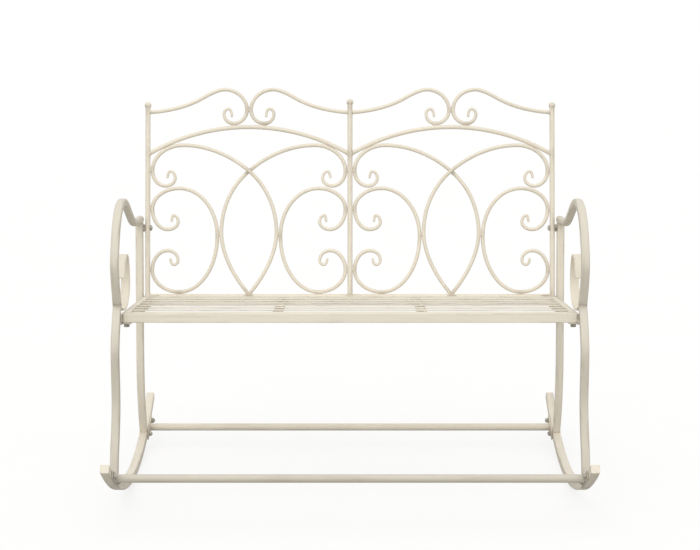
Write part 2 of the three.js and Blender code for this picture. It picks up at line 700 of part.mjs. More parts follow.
// The long bar from a curl at the post, over the middle of its panel, and down to the rail. It
// gives way to its twin where they cross, towards the front or the back.
function latticeBar(towards) {
  const end = [-SCROLL_RADIUS - SEAM / 2, RAIL_REST];
  const past = pointing(LATTICE_END_HEADING).multiplyScalar(SCROLL_DIAMETER);
  const rings = ringsAlong([
    ...nodesIn(PANEL_REACH, 0, ARCH_SPRING, LATTICE_TOP_SHARES),
    [-LATTICE_BULGE, BULGE_SHARE * ARCH_SPRING, 270],
    [...end, LATTICE_END_HEADING],
    [end[0] + past.x, end[1] + past.y, LATTICE_END_HEADING],
  ]);
  taper(rings);
  const crossing = rings.find(({ middle }) => Math.abs(middle.x) < SEAM).middle;
  rings.forEach((ring) => {
    const away = Math.min(1, ring.middle.distanceTo(crossing) / CROSSING_REACH);
    ring.lift = towards * (SCROLL_RADIUS + SEAM / 2) * (0.5 + 0.5 * Math.cos(away * Math.PI));
  });
  const twinSide = block([-SEAM / 2, -OVERRUN, -OVERRUN], [OVERRUN + OVERRUN, OVERRUN, RAIL_REST + OVERRUN]);
  return cut(backBar(roundSection(SCROLL_RADIUS), rings), twinSide, backRailCutter());
}

// The scroll beside a post: a curl at each end, and a belly against the lattice bar.
function cScroll() {
  const span = C_SCROLL_HEIGHT_SHARE * ARCH_SPRING - RAIL_REST;
  const belly = [LATTICE_BULGE + SCROLL_DIAMETER + SEAM, RAIL_REST + C_SCROLL_MIDDLE_SHARE * span, 270];
  const rings = ringsAlong([
    ...nodesIn(PANEL_REACH, RAIL_REST, span, C_SCROLL_TOP_SHARES),
    belly,
    ...nodesIn(PANEL_REACH, RAIL_REST, span, C_SCROLL_FOOT_SHARES),
  ]);
  taper(rings);
  taper([...rings].reverse());
  return backBar(roundSection(SCROLL_RADIUS), rings);
}

function addPanel(back, side, name) {
  const panel = new THREE.Group();
  panel.position.x = side * PANEL_HALF;
  panel.scale.x = side;
  addPiece(panel, `arch_${name}`, arch(), framePaint);
  const pieces = { crest_scroll: [crestScroll(), crestScroll()], c_scroll: [cScroll(), cScroll()] };
  pieces.lattice_bar = [latticeBar(1), latticeBar(-1)];
  Object.entries(pieces).forEach(([piece, [outer, inner]]) => {
    addPiece(panel, `${piece}_${name}_outer`, outer, framePaint);
    addPiece(panel, `${piece}_${name}_inner`, inner, framePaint).scale.x = -1;
  });
  back.add(panel);
}

// The spacer between an end post and the rear leg, and the bolt through both.
const POST_OUTER_FACE = HALF_POSTS + POST_RADIUS;
const POST_INNER_FACE = HALF_POSTS - POST_RADIUS;

function backSpacer() {
  const from = [POST_OUTER_FACE + SEAM, 0, BACK_BOLT_HEIGHT];
  const to = [LEG_FACE - SEAM, 0, BACK_BOLT_HEIGHT];
  const through = hole([POST_INNER_FACE, 0, BACK_BOLT_HEIGHT], [LEG_FACE + OVERRUN, 0, BACK_BOLT_HEIGHT]);
  return cut(rod(SPACER_DIAMETER / 2, from, to, HEX_SIDES), through);
}

function backBolt() {
  const headFace = POST_INNER_FACE - SEAM;
  const bolt = domedBolt(LEG_FACE + BACK_BOLT_DEPTH - headFace, BACK_DOME_HEIGHT);
  return bolt.rotateY(-Math.PI / 2).translate(headFace, 0, BACK_BOLT_HEIGHT);
}

// The whole bench
function addSideFrames(bench) {
  addPair(bench, "rocker", rocker(), framePaint);
  addPair(bench, "front_leg", frontLeg(), framePaint);
  addPair(bench, "rear_leg", rearLeg(), framePaint);
  addPair(bench, "armrest", armrest(), framePaint);
  addPair(bench, "arm_scroll", armScroll(), framePaint);
}

function addFootBars(bench) {
  const bars = { front: FRONT_BAR_ANGLE, rear: REAR_BAR_ANGLE };
  Object.entries(bars).forEach(([name, angle]) => {
    addPiece(bench, `foot_bar_${name}`, footBar(angle), framePaint);
    addPair(bench, `foot_bolt_${name}_1`, footBolt(-FOOT_BOLT_SPACING / 2, angle), fastenerPaint);
    addPair(bench, `foot_bolt_${name}_2`, footBolt(FOOT_BOLT_SPACING / 2, angle), fastenerPaint);
  });
}

function addSeat(bench) {
  addPiece(bench, "seat_rail_front", crossRail(-1), framePaint);
  addPiece(bench, "seat_rail_rear", crossRail(1), framePaint);
  addPair(bench, "seat_rail_side", sideRail(), framePaint);
  for (let i = 0; i < SLAT_COUNT; i += 1) {
    addPiece(bench, `seat_slat_${i + 1}`, slat(i), framePaint);
  }
  addPair(bench, "slat_support", slatSupport(), framePaint);
  addPair(bench, "seat_bolt_front", seatBolt(-1), fastenerPaint);
  addPair(bench, "seat_bolt_rear", seatBolt(1), fastenerPaint);
}

function addBack(bench) {
  const back = new THREE.Group();
  back.position.set(0, BACK_AXIS, SEAT_HEIGHT);
  back.rotation.x = -radians(BACK_RECLINE);
  addPiece(back, "back_rail", backRail(), framePaint);
  addPiece(back, "back_post_centre", centrePost(), framePaint);
  addPair(back, "back_post", endPost(), framePaint);
  addPanel(back, 1, "right");
  addPanel(back, -1, "left");
  addPair(back, "back_spacer", backSpacer(), fastenerPaint);
  addPair(back, "back_bolt", backBolt(), fastenerPaint);
  bench.add(back);
}

// Leans the bench back about the arc's centre, with the middle of its length at the origin.
function rest(bench) {
  const lean = radians(REST_LEAN);
  const frontTip = ROCKER_RADIUS * Math.sin(radians(ROCKER_FRONT_ANGLE) + lean);
  const rearTip = ROCKER_RADIUS * Math.sin(radians(ROCKER_REAR_ANGLE) - lean);
  const centre = new THREE.Vector3(0, (frontTip - rearTip) / 2, ROCKER_RADIUS);
  const drawnCentre = new THREE.Vector3(0, -ROCKER_AHEAD, ROCKER_RADIUS);
  bench.rotation.x = -lean;
  bench.position.copy(centre.sub(drawnCentre.applyEuler(bench.rotation)));
}

function buildBench() {
  const bench = new THREE.Group();
  bench.name = "rocking_bench";
  addSideFrames(bench);
  addFootBars(bench);
  addSeat(bench);
  addBack(bench);
  rest(bench);
  const root = new THREE.Group();
  root.add(bench);
  return root;
}

export default buildBench();
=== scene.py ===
"""A rocking bench of painted iron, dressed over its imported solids.

Every piece is a surface worked out with numpy: a section carried along a path, or a profile
turned about an axis. Metres, +X to the right, the front towards -Y, +Z up. The bench is drawn
with its seat level and is then leaned back about the centre of its rockers' arc.
"""

import bpy
import numpy as np
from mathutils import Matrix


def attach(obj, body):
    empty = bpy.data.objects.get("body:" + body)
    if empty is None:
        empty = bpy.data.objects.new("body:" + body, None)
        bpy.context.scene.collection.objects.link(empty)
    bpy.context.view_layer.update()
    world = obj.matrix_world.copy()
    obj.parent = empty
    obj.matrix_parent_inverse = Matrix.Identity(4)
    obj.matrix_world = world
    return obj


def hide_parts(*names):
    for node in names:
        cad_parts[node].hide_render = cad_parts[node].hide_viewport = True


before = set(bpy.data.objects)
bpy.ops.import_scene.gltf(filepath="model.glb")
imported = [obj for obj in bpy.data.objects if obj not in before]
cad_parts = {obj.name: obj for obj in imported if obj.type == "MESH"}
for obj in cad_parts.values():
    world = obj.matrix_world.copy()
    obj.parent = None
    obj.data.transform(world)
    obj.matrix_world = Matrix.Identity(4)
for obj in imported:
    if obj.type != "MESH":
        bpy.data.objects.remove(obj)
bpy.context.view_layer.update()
scene = bpy.context.scene

MM = 0.001
SEAM = 0.3 * MM
LAP = 1 * MM  # how far a bar or shank runs into the piece that hides its end
SIDES = ((1, "right"), (-1, "left"))

# Seat
SEAT_TOP = 434 * MM
SEAT_HALF_DEPTH = 220 * MM
SEAT_HALF_WIDTH = 526.9 * MM
RAIL_WIDTH = 13 * MM
RAIL_HEIGHT = 22 * MM
RAIL_ROUNDING = 1.4 * MM
SLAT_COUNT = 7
SLAT_WIDTH = 28 * MM
SLAT_THICKNESS = 1.5 * MM
SLAT_ROUNDING = 0.6 * MM
SUPPORT_MIDDLE = 170 * MM
SUPPORT_WIDTH = 24 * MM
SUPPORT_THICKNESS = 4 * MM
SUPPORT_ROUNDING = 0.8 * MM

# Side frames. Headings are in degrees, 0 towards the rear and 90 up.
FRAME_X = 540 * MM
TUBE = 19 * MM
TUBE_ROUNDING = 3.4 * MM
ROCKER_TUBE = 20 * MM
ROCKER_ROUNDING = 2.4 * MM
ROCKER_RADIUS = 1000 * MM
ROCKER_MIDDLE = ROCKER_RADIUS - ROCKER_TUBE / 2
ROCKER_FRONT = np.radians(26.6)
ROCKER_REAR = np.radians(30)
ROCKER_RINGS = 150
ARC_Y = -22 * MM
LEAN = np.radians(6)
REACH = 260 * MM
KINK_Z = 452 * MM
KINK_Y = -0.8346 * REACH
KINK_MITRE = 89
MITRE_ROOM = 9 * MM
FRONT_FOOT_TURN = 82
FRONT_TOP_TURN = 57
REAR_FOOT_TURN = 118
REAR_TOP_TURN = 88.5
ARM_SPAN = 235 * MM
ARM_REAR_Z = KINK_Z + 0.7532 * ARM_SPAN
ARM_TAIL = 22 * MM
ARM_DOME = 9 * MM
# How round the arm's tube becomes, from where, and over which share of its length
ARM_SOFTNESS, ARM_SOFT_FROM, ARM_SOFT_OVER = 0.85, 0.3, 0.35
STRIP_WIDTH = 21.5 * MM
STRIP_THICKNESS = 4.5 * MM
STRIP_ROUNDING = 1.1 * MM
END_BEVEL = 1.2 * MM

# Foot bars
FRONT_BAR = -0.8 * ROCKER_FRONT
REAR_BAR = 0.71 * ROCKER_REAR
FOOT_BAR_RADIUS = 9.5 * MM
PLATE_FACE = 526.5 * MM
PLATE_THICKNESS = 3.2 * MM
PLATE_LENGTH = 98 * MM
PLATE_ROUNDING = 0.7 * MM
FOOT_BOLT = 34 * MM

# Bearers, the angle bars under the seat's sides
LEG_FACE = FRAME_X - TUBE / 2
BEARER = 3 * MM
BEARER_ROUNDING = 0.7 * MM
BEARER_FACE = LEG_FACE - SEAM
BEARER_TOP = SEAT_TOP - 0.5 * MM
SHELF_TOP = SEAT_TOP - RAIL_HEIGHT - SEAM
SHELF_WIDTH = 22 * MM
BEARER_TAIL = 6 * MM
SEAT_BOLT_X = 520.4 * MM
SEAT_BOLT_Y = 200 * MM

# Back. Heights run up its posts from the top of the seat.
RECLINE = np.radians(5.6)
POST_RADIUS = 6.5 * MM
POST_DROP = 7.5 * MM
END_POST_X = 518.5 * MM
PANEL_HALF = END_POST_X / 2
RAIL_DROP = 1 * MM
ARCH = 5.5 * MM
SPRING = 363.5 * MM
RISE = 70.5 * MM
CROWN = SPRING + RISE
ARCH_CURVE = (PANEL_HALF**2 + RISE**2) / (2 * RISE)
SCROLL = 5 * MM
SCROLL_EASE = 0.12 * MM  # keeps the crest's highest curl inside its solid
PANEL_REACH = PANEL_HALF - POST_RADIUS - SEAM - SCROLL
RAIL_REST = POST_RADIUS - RAIL_DROP + SEAM + SCROLL
CREST_REST = CROWN + ARCH + SEAM + SCROLL
CREST_RISE = 85.7 * MM
CREST_END_TURN = -3
BALL_HEIGHT = CROWN + 55.5 * MM
CENTRE_BALL_EXTRA = 8 * MM
BALL_RADIUS = 8.6 * MM
BULGE = 70.6 * MM
CROSSING_REACH = 60 * MM
LATTICE_FOOT_TURN = 309
BACK_Y = SEAT_HALF_DEPTH + SEAM + POST_RADIUS * np.cos(RECLINE) + POST_DROP * np.sin(RECLINE)
BACK_BOLT_HEIGHT = (ARM_REAR_Z - 21 * MM - SEAT_TOP) / np.cos(RECLINE)
REAR_REACH = BACK_Y + BACK_BOLT_HEIGHT * np.sin(RECLINE)

# Bolts
HEAD_RADIUS = 7.5 * MM
BACK_DOME = 5.5 * MM
CAP_FOOT = 4 * MM
CAP_RADIUS = 5.9 * MM
CAP_RISE = 5 * MM
HEX_HEIGHT = 8 * MM
HEX_RADIUS = 7.2 * MM
WASHER = 1.6 * MM
WASHER_RADIUS = 7.5 * MM
SHANK_RADIUS = 3.5 * MM
FOOT_SHANK = 14.5 * MM
SEAT_SHANK = 17.5 * MM
BACK_SHANK_PAST_LEG = 13 * MM
SPACER_RADIUS = 9.5 * MM

# Welds: the radius of a bead, and half of a tack's length, width and depth
WELD_REACH = 9.9 * MM
BAR_BEAD = 1.5 * MM
FOOT_BEAD = 1.9 * MM
KINK_BEAD = 1 * MM
ARM_BEAD = 1.4 * MM
ARCH_BEAD = 1.4 * MM
CREST_BEAD = 1.3 * MM
BEAD_RIPPLE = 2.4 * MM
BEAD_SWELL, BEAD_DRIFT = 0.13, 0.12  # how uneven its ripples and its slow changes make it
BEAD_STEPS, BEAD_SIDES = 112, 10
TACK = (6.5 * MM, 2.3 * MM, 3.5 * MM)
SEAT_TACK = (13 * MM, 2.2 * MM, 2.4 * MM)
LATTICE_FOOT_TACK = (9 * MM, 2.4 * MM, 4 * MM)
CROSSING_TACK = (4.2 * MM, 4.2 * MM, 1.6 * MM)
TACK_RIPPLE = 2.2 * MM
TACK_SWELL = 0.08
TACK_STEPS, TACK_SIDES = 25, 14
SEAT_TACKS = (-0.5, -0.26, 0.0, 0.26, 0.5)

# Rings of a surface
CAP_RINGS = 8
TIP = 0.02  # the least share of the section at the tip of a dome or a tack
TURNED_TIP = 0.02 * MM
FAN_RIM = 0.8  # the size of the last ring before a fan
BEAM_FADES = np.array([6, 14, 24, 38, 60, 110]) * MM  # how far rings lie from a beam's ends
BEAM_MIDDLE = 1 / 2.2  # the share of its length that they keep to
END_CUT = 0.96  # the share of its rounding that an end is cut back by

# Edge marks: 0 on a flat, 1 on a sharp edge
CUT_MARK = 0.1
ROUND_MARK = 0.15
NEAR_EDGE_MARK = 0.3
BEAD_MARK = 0.3
TURNED_MARK = 0.35

# Grime and painted shade: wash added all over a surface, and multiples of its marks of edges
# and of joints. Some kinds below paint shade where parts meet or shade each other.
GRIME_AND_SHADE = {
    # Painted shade: the bearer wall's edges and ends are darkened for the shade between the legs
    # and the seat rails
    "bearer": (0, 2, 2.2),
    "front weld": (0.9, 1, 1),
    "rear weld": (0.3, 1, 1),
    # Painted shade: the arm scroll's joint wash is strong at its foot by the kink, for the shade
    # under the strip
    "arm scroll": (0, 1, 3.5),
    "plate": (0.3, 2.5, 1.5),
    "plate weld": (0.6, 1, 1),
    "bolt head": (0.9, 1, 1),
    # Painted shade: the slat supports are darkened all over for the shade they lie in under the
    # slats
    "slat support": (2.4, 1, 1),
    # Partly edge wear, partly painted shade: the slats' strong edge wash darkens the gaps between
    # them
    "slat": (0, 1.7, 1),
    "washer": (1.2, 1, 1),
    "spacer": (1.2, 1, 1),
    "back bolt": (1.1, 1, 1),
}

# The arc's centre stands over the middle of the floor that the leaned rockers cover.
ARC_REST_Y = ROCKER_RADIUS * (np.sin(ROCKER_FRONT + LEAN) - np.sin(ROCKER_REAR - LEAN)) / 2


# Places: each takes points (along, up) in a piece's own plane and a distance out of that plane

def joined(*coordinates):
    """Points from coordinates of different shapes."""
    return np.stack(np.broadcast_arrays(*coordinates), axis=-1)


def tipped(x, y, z, angle, middle):
    """Points turned back by an angle about the X axis, then moved to a middle (y, z)."""
    return joined(x, middle[0] + y * np.cos(angle) + z * np.sin(angle),
                  middle[1] + z * np.cos(angle) - y * np.sin(angle))


def leaned(points):
    """Points of the level bench, turned back by LEAN about the arc's centre."""
    x, y, z = np.moveaxis(points, -1, 0)
    return tipped(x, y - ARC_Y, z - ROCKER_RADIUS, LEAN, (ARC_REST_Y, ROCKER_RADIUS))


def reclined(x, depth, height):
    """A point of the back, turned back by RECLINE about the foot of its posts."""
    return tipped(x, depth, height, RECLINE, (BACK_Y, SEAT_TOP))


def side_place(side):
    """The plane of a side frame: along is Y, up is Z, and out is away from the bench's middle."""
    return lambda flat, out: joined(side * (FRAME_X + out), flat[..., 0], flat[..., 1])


def back_place(side=1, start=0.0, mirror=1, foot=0.0):
    """The plane of the back: along runs from a start on a side, and up runs from a foot."""
    return lambda flat, out: reclined(side * (start + mirror * flat[..., 0]), -out,
                                      foot + flat[..., 1])


def upright_place(x):
    """The axis of a post: along runs up the back."""
    return lambda flat, out: reclined(x + flat[..., 1], -out, flat[..., 0])


def rocker_point(angle, radius=ROCKER_MIDDLE):
    """A point at an angle round the rockers' arc and a distance from its centre."""
    return joined(ARC_Y + radius * np.sin(angle), ROCKER_RADIUS - radius * np.cos(angle))


def cross_place(angle):
    """A plane across the bench that stands square on the rockers: along is X, up is off the arc."""
    middle = rocker_point(angle)
    return lambda flat, out: tipped(flat[..., 0], out, flat[..., 1], -angle, middle)


# Paths through nodes of (along, up, heading in degrees)

def circle(angle):
    """Points of a circle of radius 1."""
    return np.stack([np.cos(angle), np.sin(angle)], axis=-1)


def heading(degrees):
    """The unit vector (along, up) of a heading."""
    return circle(np.radians(degrees))


def unit(vectors):
    """Vectors of length 1 in the same directions."""
    return vectors / np.linalg.norm(vectors, axis=1, keepdims=True)


def normals(tangents):
    """The directions to the left of tangents."""
    return np.stack([-tangents[:, 1], tangents[:, 0]], axis=1)


def wedge(a, b):
    """The cross product of two flat vectors."""
    return a[0] * b[1] - a[1] * b[0]


def in_field(reach, low, span, shares):
    """Nodes from shares of a reach along and of a span above a lowest height."""
    return [(along * reach, low + up * span, turn) for along, up, turn in shares]


def bend(start, end, straight_turn=0.02, soft_reach=0.36):
    """Four control points: a part of an ellipse where the headings meet ahead, or else a soft S."""
    first, last = np.array(start[:2]), np.array(end[:2])
    out, into = heading(start[2]), heading(end[2])
    chord = last - first
    turn = np.arccos(np.clip(out @ into, -1, 1))
    reach_out = reach_in = soft_reach * np.hypot(*chord)
    if turn > straight_turn:
        roundness = 4 / 3 * np.tan(turn / 4) / np.tan(turn / 2)
        ahead = wedge(chord, into) / wedge(out, into)
        behind = wedge(out, chord) / wedge(out, into)
        if ahead > 0 and behind > 0:
            reach_out, reach_in = ahead * roundness, behind * roundness
    return np.array([first, first + out * reach_out, last - into * reach_in, last])


def path(nodes, spacing=5 * MM, most_turn=5):
    """Points and unit tangents along the bends, close enough together for each bend's own turn."""
    points, tangents = [], []
    for i, (start, end) in enumerate(zip(nodes[:-1], nodes[1:])):
        control = bend(start, end)
        length = np.linalg.norm(np.diff(control, axis=0), axis=1).sum()
        turn = abs((end[2] - start[2] + 180) % 360 - 180)
        count = int(max(2, np.ceil(length / spacing), np.ceil(turn / most_turn)))
        t = np.linspace(0, 1, count + 1)[(i > 0):, None]
        weights = [(1 - t) ** 3, 3 * t * (1 - t) ** 2, 3 * t**2 * (1 - t), t**3]
        slopes = [(1 - t) ** 2, 2 * t * (1 - t), t**2]
        points.append(sum(w * c for w, c in zip(weights, control)))
        tangents.append(sum(w * c for w, c in zip(slopes, np.diff(control, axis=0))))
    points, tangents = np.concatenate(points), np.concatenate(tangents)
    return points, unit(tangents)


def straight(half_length, up, end_share, middle_share, end_count, middle_count):
    """Points and tangents of a level bar, closer together near its ends, where marks change."""
    shares = np.concatenate([np.linspace(-1, -end_share, end_count),
                             np.linspace(-middle_share, middle_share, middle_count),
                             np.linspace(end_share, 1, end_count)])
    return joined(shares * half_length, up), np.tile([1.0, 0.0], (len(shares), 1))


def run_along(points):
    """The length along a path at each of its points."""
    steps = np.linalg.norm(np.diff(points, axis=0), axis=1)
    return np.concatenate([[0], np.cumsum(steps)])


def near(points, places, spread=14 * MM):
    """1 at each of the places, falling off to 0 around it."""
    if not len(places):
        return np.zeros(len(points))
    gaps = np.linalg.norm(points[:, None] - np.array(places)[None], axis=2)
    return np.exp(-((gaps / spread) ** 2)).max(axis=1)


def thinned(points, from_end=False, length=80 * MM, tip=0.66):
    """A share that grows from a curl's tip to the full bar."""
    run = run_along(points)
    run = run[-1] - run if from_end else run
    return np.minimum(1, tip + (1 - tip) * run / length)


# Sections: points (out, up) round a bar, and a mark that is 1 on an edge and 0 on a flat

def round_section(radius, count):
    """A round bar, with the same slight wear all round."""
    angle = np.arange(count) * 2 * np.pi / count
    return radius * circle(angle), np.full(count, ROUND_MARK)


def box_section(width, height, rounding, steps=4):
    """A box with rounded corners. Two points inside each end of a flat keep the flat crisp."""
    core = np.array([width / 2 - rounding, height / 2 - rounding])
    corners = core * [[1, 1], [-1, 1], [-1, -1], [1, -1]]
    angle = np.linspace(0, np.pi / 2, steps + 1) + np.arange(4)[:, None] * np.pi / 2
    arcs = corners[:, None] + rounding * circle(angle)
    share = np.array([0.05, 0.3, 0.7, 0.95])[None, :, None]
    flats = arcs[:, -1:] + share * (np.roll(arcs, -1, axis=0)[:, :1] - arcs[:, -1:])
    outline = np.concatenate([arcs, flats], axis=1).reshape(-1, 2)
    on_arc = 0.5 + 0.5 * np.sin(np.linspace(0, np.pi, steps + 1))
    on_flat = [NEAR_EDGE_MARK, 0, 0, NEAR_EDGE_MARK]
    return outline, np.tile(np.concatenate([on_arc, on_flat]), 4)


# Surfaces: vertices, groups of faces, and the grain, edge and joint marks that the paint reads

grain_starts = iter(np.arange(0, 400, 1.37))


def ring_surface(rings, run, outline, marks, joint, closed=False):
    """Quads between rings of points, with a fan at each end unless the rings run in a loop.

    The grain is the length along the bar and the place in its section, so that streaks in the
    paint run along the bar. Each surface starts its grain at a length of its own.
    """
    if not closed:
        rims = rings[[0, -1]]
        inner = FAN_RIM * rims + (1 - FAN_RIM) * rims.mean(axis=1, keepdims=True)
        rings = np.concatenate([inner[:1], rings, inner[1:]])
        outline = np.broadcast_to(outline, (len(run), *outline.shape[-2:]))
        outline = np.concatenate([FAN_RIM * outline[:1], outline, FAN_RIM * outline[-1:]])
        run, joint = np.pad(run, 1, mode="edge"), np.pad(joint, 1, mode="edge")
        marks = np.broadcast_to(marks, (len(run), len(marks))).copy()
        marks[[0, -1]] = CUT_MARK
    stations, around = rings.shape[:2]
    index = np.arange(stations * around).reshape(stations, around)
    a, b = (index, np.roll(index, -1, axis=0)) if closed else (index[:-1], index[1:])
    quads = np.stack([a, np.roll(a, -1, axis=1), np.roll(b, -1, axis=1), b], axis=-1)
    groups = [quads.reshape(-1, 4)]
    along = np.broadcast_to(run[:, None, None], (stations, around, 1)) + next(grain_starts)
    outline = np.broadcast_to(outline, (stations, around, 2))
    grain = np.concatenate([along, outline], axis=2).reshape(-1, 3)
    vertices = rings.reshape(-1, 3)
    edge = np.broadcast_to(marks, (stations, around)).ravel()
    joint = np.repeat(joint, around)
    if not closed:
        first = stations * around
        start = np.stack([np.full(around, first), np.roll(index[0], -1), index[0]], axis=1)
        end = np.stack([np.full(around, first + 1), index[-1], np.roll(index[-1], -1)], axis=1)
        groups.append(np.concatenate([start, end]))
        ends = grain.reshape(stations, around, 3)[[0, -1]].mean(axis=1)
        vertices = np.concatenate([vertices, rings[[0, -1]].mean(axis=1)])
        grain, edge = np.concatenate([grain, ends]), np.concatenate([edge, [0.0, 0.0]])
        joint = np.concatenate([joint, joint[[0, -1]]])
    return outward(vertices, groups, grain, edge, joint)


def outward(vertices, groups, *marks):
    """Turns the faces of a closed surface to point out, by the sign of its volume."""
    volume = 0.0
    for faces in groups:
        corners = vertices[faces]
        for i in range(1, faces.shape[1] - 1):
            volume += (corners[:, 0] * np.cross(corners[:, i], corners[:, i + 1])).sum()
    if volume < 0:
        groups = [faces[:, ::-1] for faces in groups]
    return vertices, groups, *marks


def bar(middle, section, place, grow=None, lift=None, contacts=(), ends=(None, None),
        square=None, soft=None):
    """A section carried along a path (points, tangents), thinned by grow and shifted out by lift.

    Each point of a ring is the path's point, plus the section's height along the path's normal
    or along square, plus the section's width out of the plane. Where soft rises from 0 to 1, the
    section blends into the circle that fits inside it. An end is left cut, or is closed by a
    dome or a bevel of a given depth.
    """
    flat, tangents = middle
    outline, marks = section
    grow = np.ones(len(flat)) if grow is None else grow
    lift = np.zeros(len(flat)) if lift is None else lift
    soft = np.zeros((len(flat), 1, 1)) if soft is None else soft[:, None, None]
    square = normals(tangents) if square is None else square
    size = np.abs(outline).max()
    disc = size * unit(outline)
    sections = (soft * disc + (1 - soft) * outline) * grow[:, None, None]
    angle = np.linspace(0, np.pi / 2, CAP_RINGS + 1)[1:, None, None]
    for at, end in zip((0, -1), ends):
        if end is None:
            continue
        shape, depth = end
        if shape == "dome":
            full = disc * np.abs(sections[at]).max() / size
            blend = np.sin(angle) * full + (1 - np.sin(angle)) * sections[at]
            caps = np.maximum(np.cos(angle), TIP) * blend
        else:
            caps = sections[at] * (1 - depth / size * (1 - np.cos(angle)))
        ahead = depth * np.sin(angle[:, 0]) * tangents[at] * (-1 if at == 0 else 1)
        added = (flat[at] + ahead, caps, np.full(CAP_RINGS, lift[at]),
                 np.repeat(square[at][None], CAP_RINGS, axis=0))
        parts = zip((flat, sections, lift, square), added)
        if at == 0:
            flat, sections, lift, square = (np.concatenate([new[::-1], old]) for old, new in parts)
        else:
            flat, sections, lift, square = (np.concatenate([old, new]) for old, new in parts)
    up = flat[:, None] + sections[..., 1:] * square[:, None]
    rings = place(up, lift[:, None] + sections[..., 0])
    return ring_surface(rings, run_along(flat), sections, marks, near(flat, contacts))


def turned(profile, place, sides=28, contacts=(), shape=None):
    """A profile of (along, radius) turned about its axis; shape limits the radius by the angle."""
    profile = np.array(profile, dtype=float)
    angle = np.arange(sides) * 2 * np.pi / sides
    radius = np.repeat(np.maximum(profile[:, 1:], TURNED_TIP), sides, axis=1)
    if shape is not None:
        radius = np.minimum(radius, shape(angle))
    up, out = radius * np.cos(angle), radius * np.sin(angle)
    rings = place(joined(profile[:, :1], up), out)
    joint = near(np.pad(profile[:, :1], ((0, 0), (0, 1))), contacts)
    marks = np.full(sides, TURNED_MARK)
    return ring_surface(rings, run_along(profile), np.stack([up, out], axis=-1), marks, joint)


def beam(corner, opposite, axis, rounding, marked=None, spread=12 * MM):
    """A straight bar between opposite corners, with every edge rounded.

    Its joints are marked at both ends, unless marked lists other places along it.
    """
    low, high = np.sort(np.array([corner, opposite], dtype=float), axis=0)
    others = [i for i in range(3) if i != axis]
    size, middle = (high - low)[others], (high + low)[others] / 2
    start, stop = low[axis], high[axis]
    angle = np.linspace(0, np.pi / 2, 4)
    fades = np.unique(np.minimum((stop - start) * BEAM_MIDDLE, BEAM_FADES))
    deep = rounding * (1 - np.cos(angle))
    along = np.concatenate([start + deep, start + fades, stop - fades[::-1], stop - deep[::-1]])
    slope = 1 - np.sin(angle)
    inset = END_CUT * rounding * np.concatenate([slope, np.zeros(2 * len(fades)), slope[::-1]])
    outlines = np.stack([box_section(*(size - 2 * i), rounding - i)[0] for i in inset])
    marks = box_section(*size, rounding)[1]
    rings = np.empty((len(along), outlines.shape[1], 3))
    rings[..., axis] = along[:, None]
    rings[..., others] = middle + outlines
    marked = (start, stop) if marked is None else marked
    joint = near(along[:, None], np.array(marked)[:, None], spread)
    return ring_surface(rings, along, outlines, marks, joint)


def weld(centre, turn, section, place, face_turn, face_point=None, size=BAR_BEAD, widest=1.0):
    """A rippled bead round a bar, where the bar meets a flat face, ground flat beyond widest.

    The bar goes through the centre with a heading, and the face squares up to another heading.
    """
    outline = section[0]
    axis, normal = heading(turn), heading(face_turn)
    foot = np.array(centre) + outline[:, 1:] * heading(turn + 90)
    face_point = np.array(centre if face_point is None else face_point)
    reach = ((face_point - foot) @ normal) / (axis @ normal)
    loop = np.concatenate([foot + reach[:, None] * axis, outline[:, :1]], axis=1)
    loop = np.concatenate([loop, loop[:1]])
    run = run_along(loop)
    even = np.linspace(0, run[-1], BEAD_STEPS, endpoint=False)
    loop = np.stack([np.interp(even, run, loop[:, i]) for i in range(3)], axis=1)
    around = unit(np.roll(loop, -1, axis=0) - np.roll(loop, 1, axis=0))
    up = np.append(normal, 0.0)
    side = unit(np.cross(around, up))
    ripples = max(6, round(run[-1] / BEAD_RIPPLE))
    turns = even / run[-1] * 2 * np.pi
    swell = 1 + BEAD_SWELL * np.cos(ripples * turns) + BEAD_DRIFT * np.sin(5 * turns)
    angle = np.arange(BEAD_SIDES) * 2 * np.pi / BEAD_SIDES
    bead = size * circle(angle)
    tube = bead[:, :1] * side[:, None] + bead[:, 1:] * up
    tube = loop[:, None] + swell[:, None, None] * tube
    rings = place(tube[..., :2], np.clip(tube[..., 2], -widest, widest))
    marks = np.full(BEAD_SIDES, BEAD_MARK)
    return ring_surface(rings, even, bead, marks, np.ones(BEAD_STEPS), closed=True)


def tack(point, turn, place, half=TACK, out=0.0):
    """A short weld that fills the groove between two bars: a rippled ellipsoid along a heading."""
    t = np.sin(np.linspace(-np.pi / 2, np.pi / 2, TACK_STEPS))
    ripple = 1 + TACK_SWELL * np.cos(t * half[0] / TACK_RIPPLE * 2 * np.pi)
    swell = np.sqrt(np.maximum(1 - t**2, TIP**2)) * ripple
    angle = np.arange(TACK_SIDES) * 2 * np.pi / TACK_SIDES
    along, across = heading(turn), heading(turn + 90)
    wide = half[1] * swell[:, None] * np.cos(angle)
    deep = half[2] * swell[:, None] * np.sin(angle)
    flat = np.array(point) + (t * half[0])[:, None, None] * along + wide[..., None] * across
    rings = place(flat, out + deep)
    marks = np.full(TACK_SIDES, BEAD_MARK)
    outline = np.stack([wide, deep], axis=-1)
    return ring_surface(rings, t * half[0], outline, marks, np.ones(TACK_STEPS))


def grimed_and_shaded(shell, kind):
    """The surface with the extra wash of its kind, which is grime for some kinds and painted shade
    for others.
    """
    vertices, groups, grain, edge, joint = shell
    amount, edges, joints = GRIME_AND_SHADE[kind]
    return vertices, groups, grain, edge * edges, joint * joints + amount


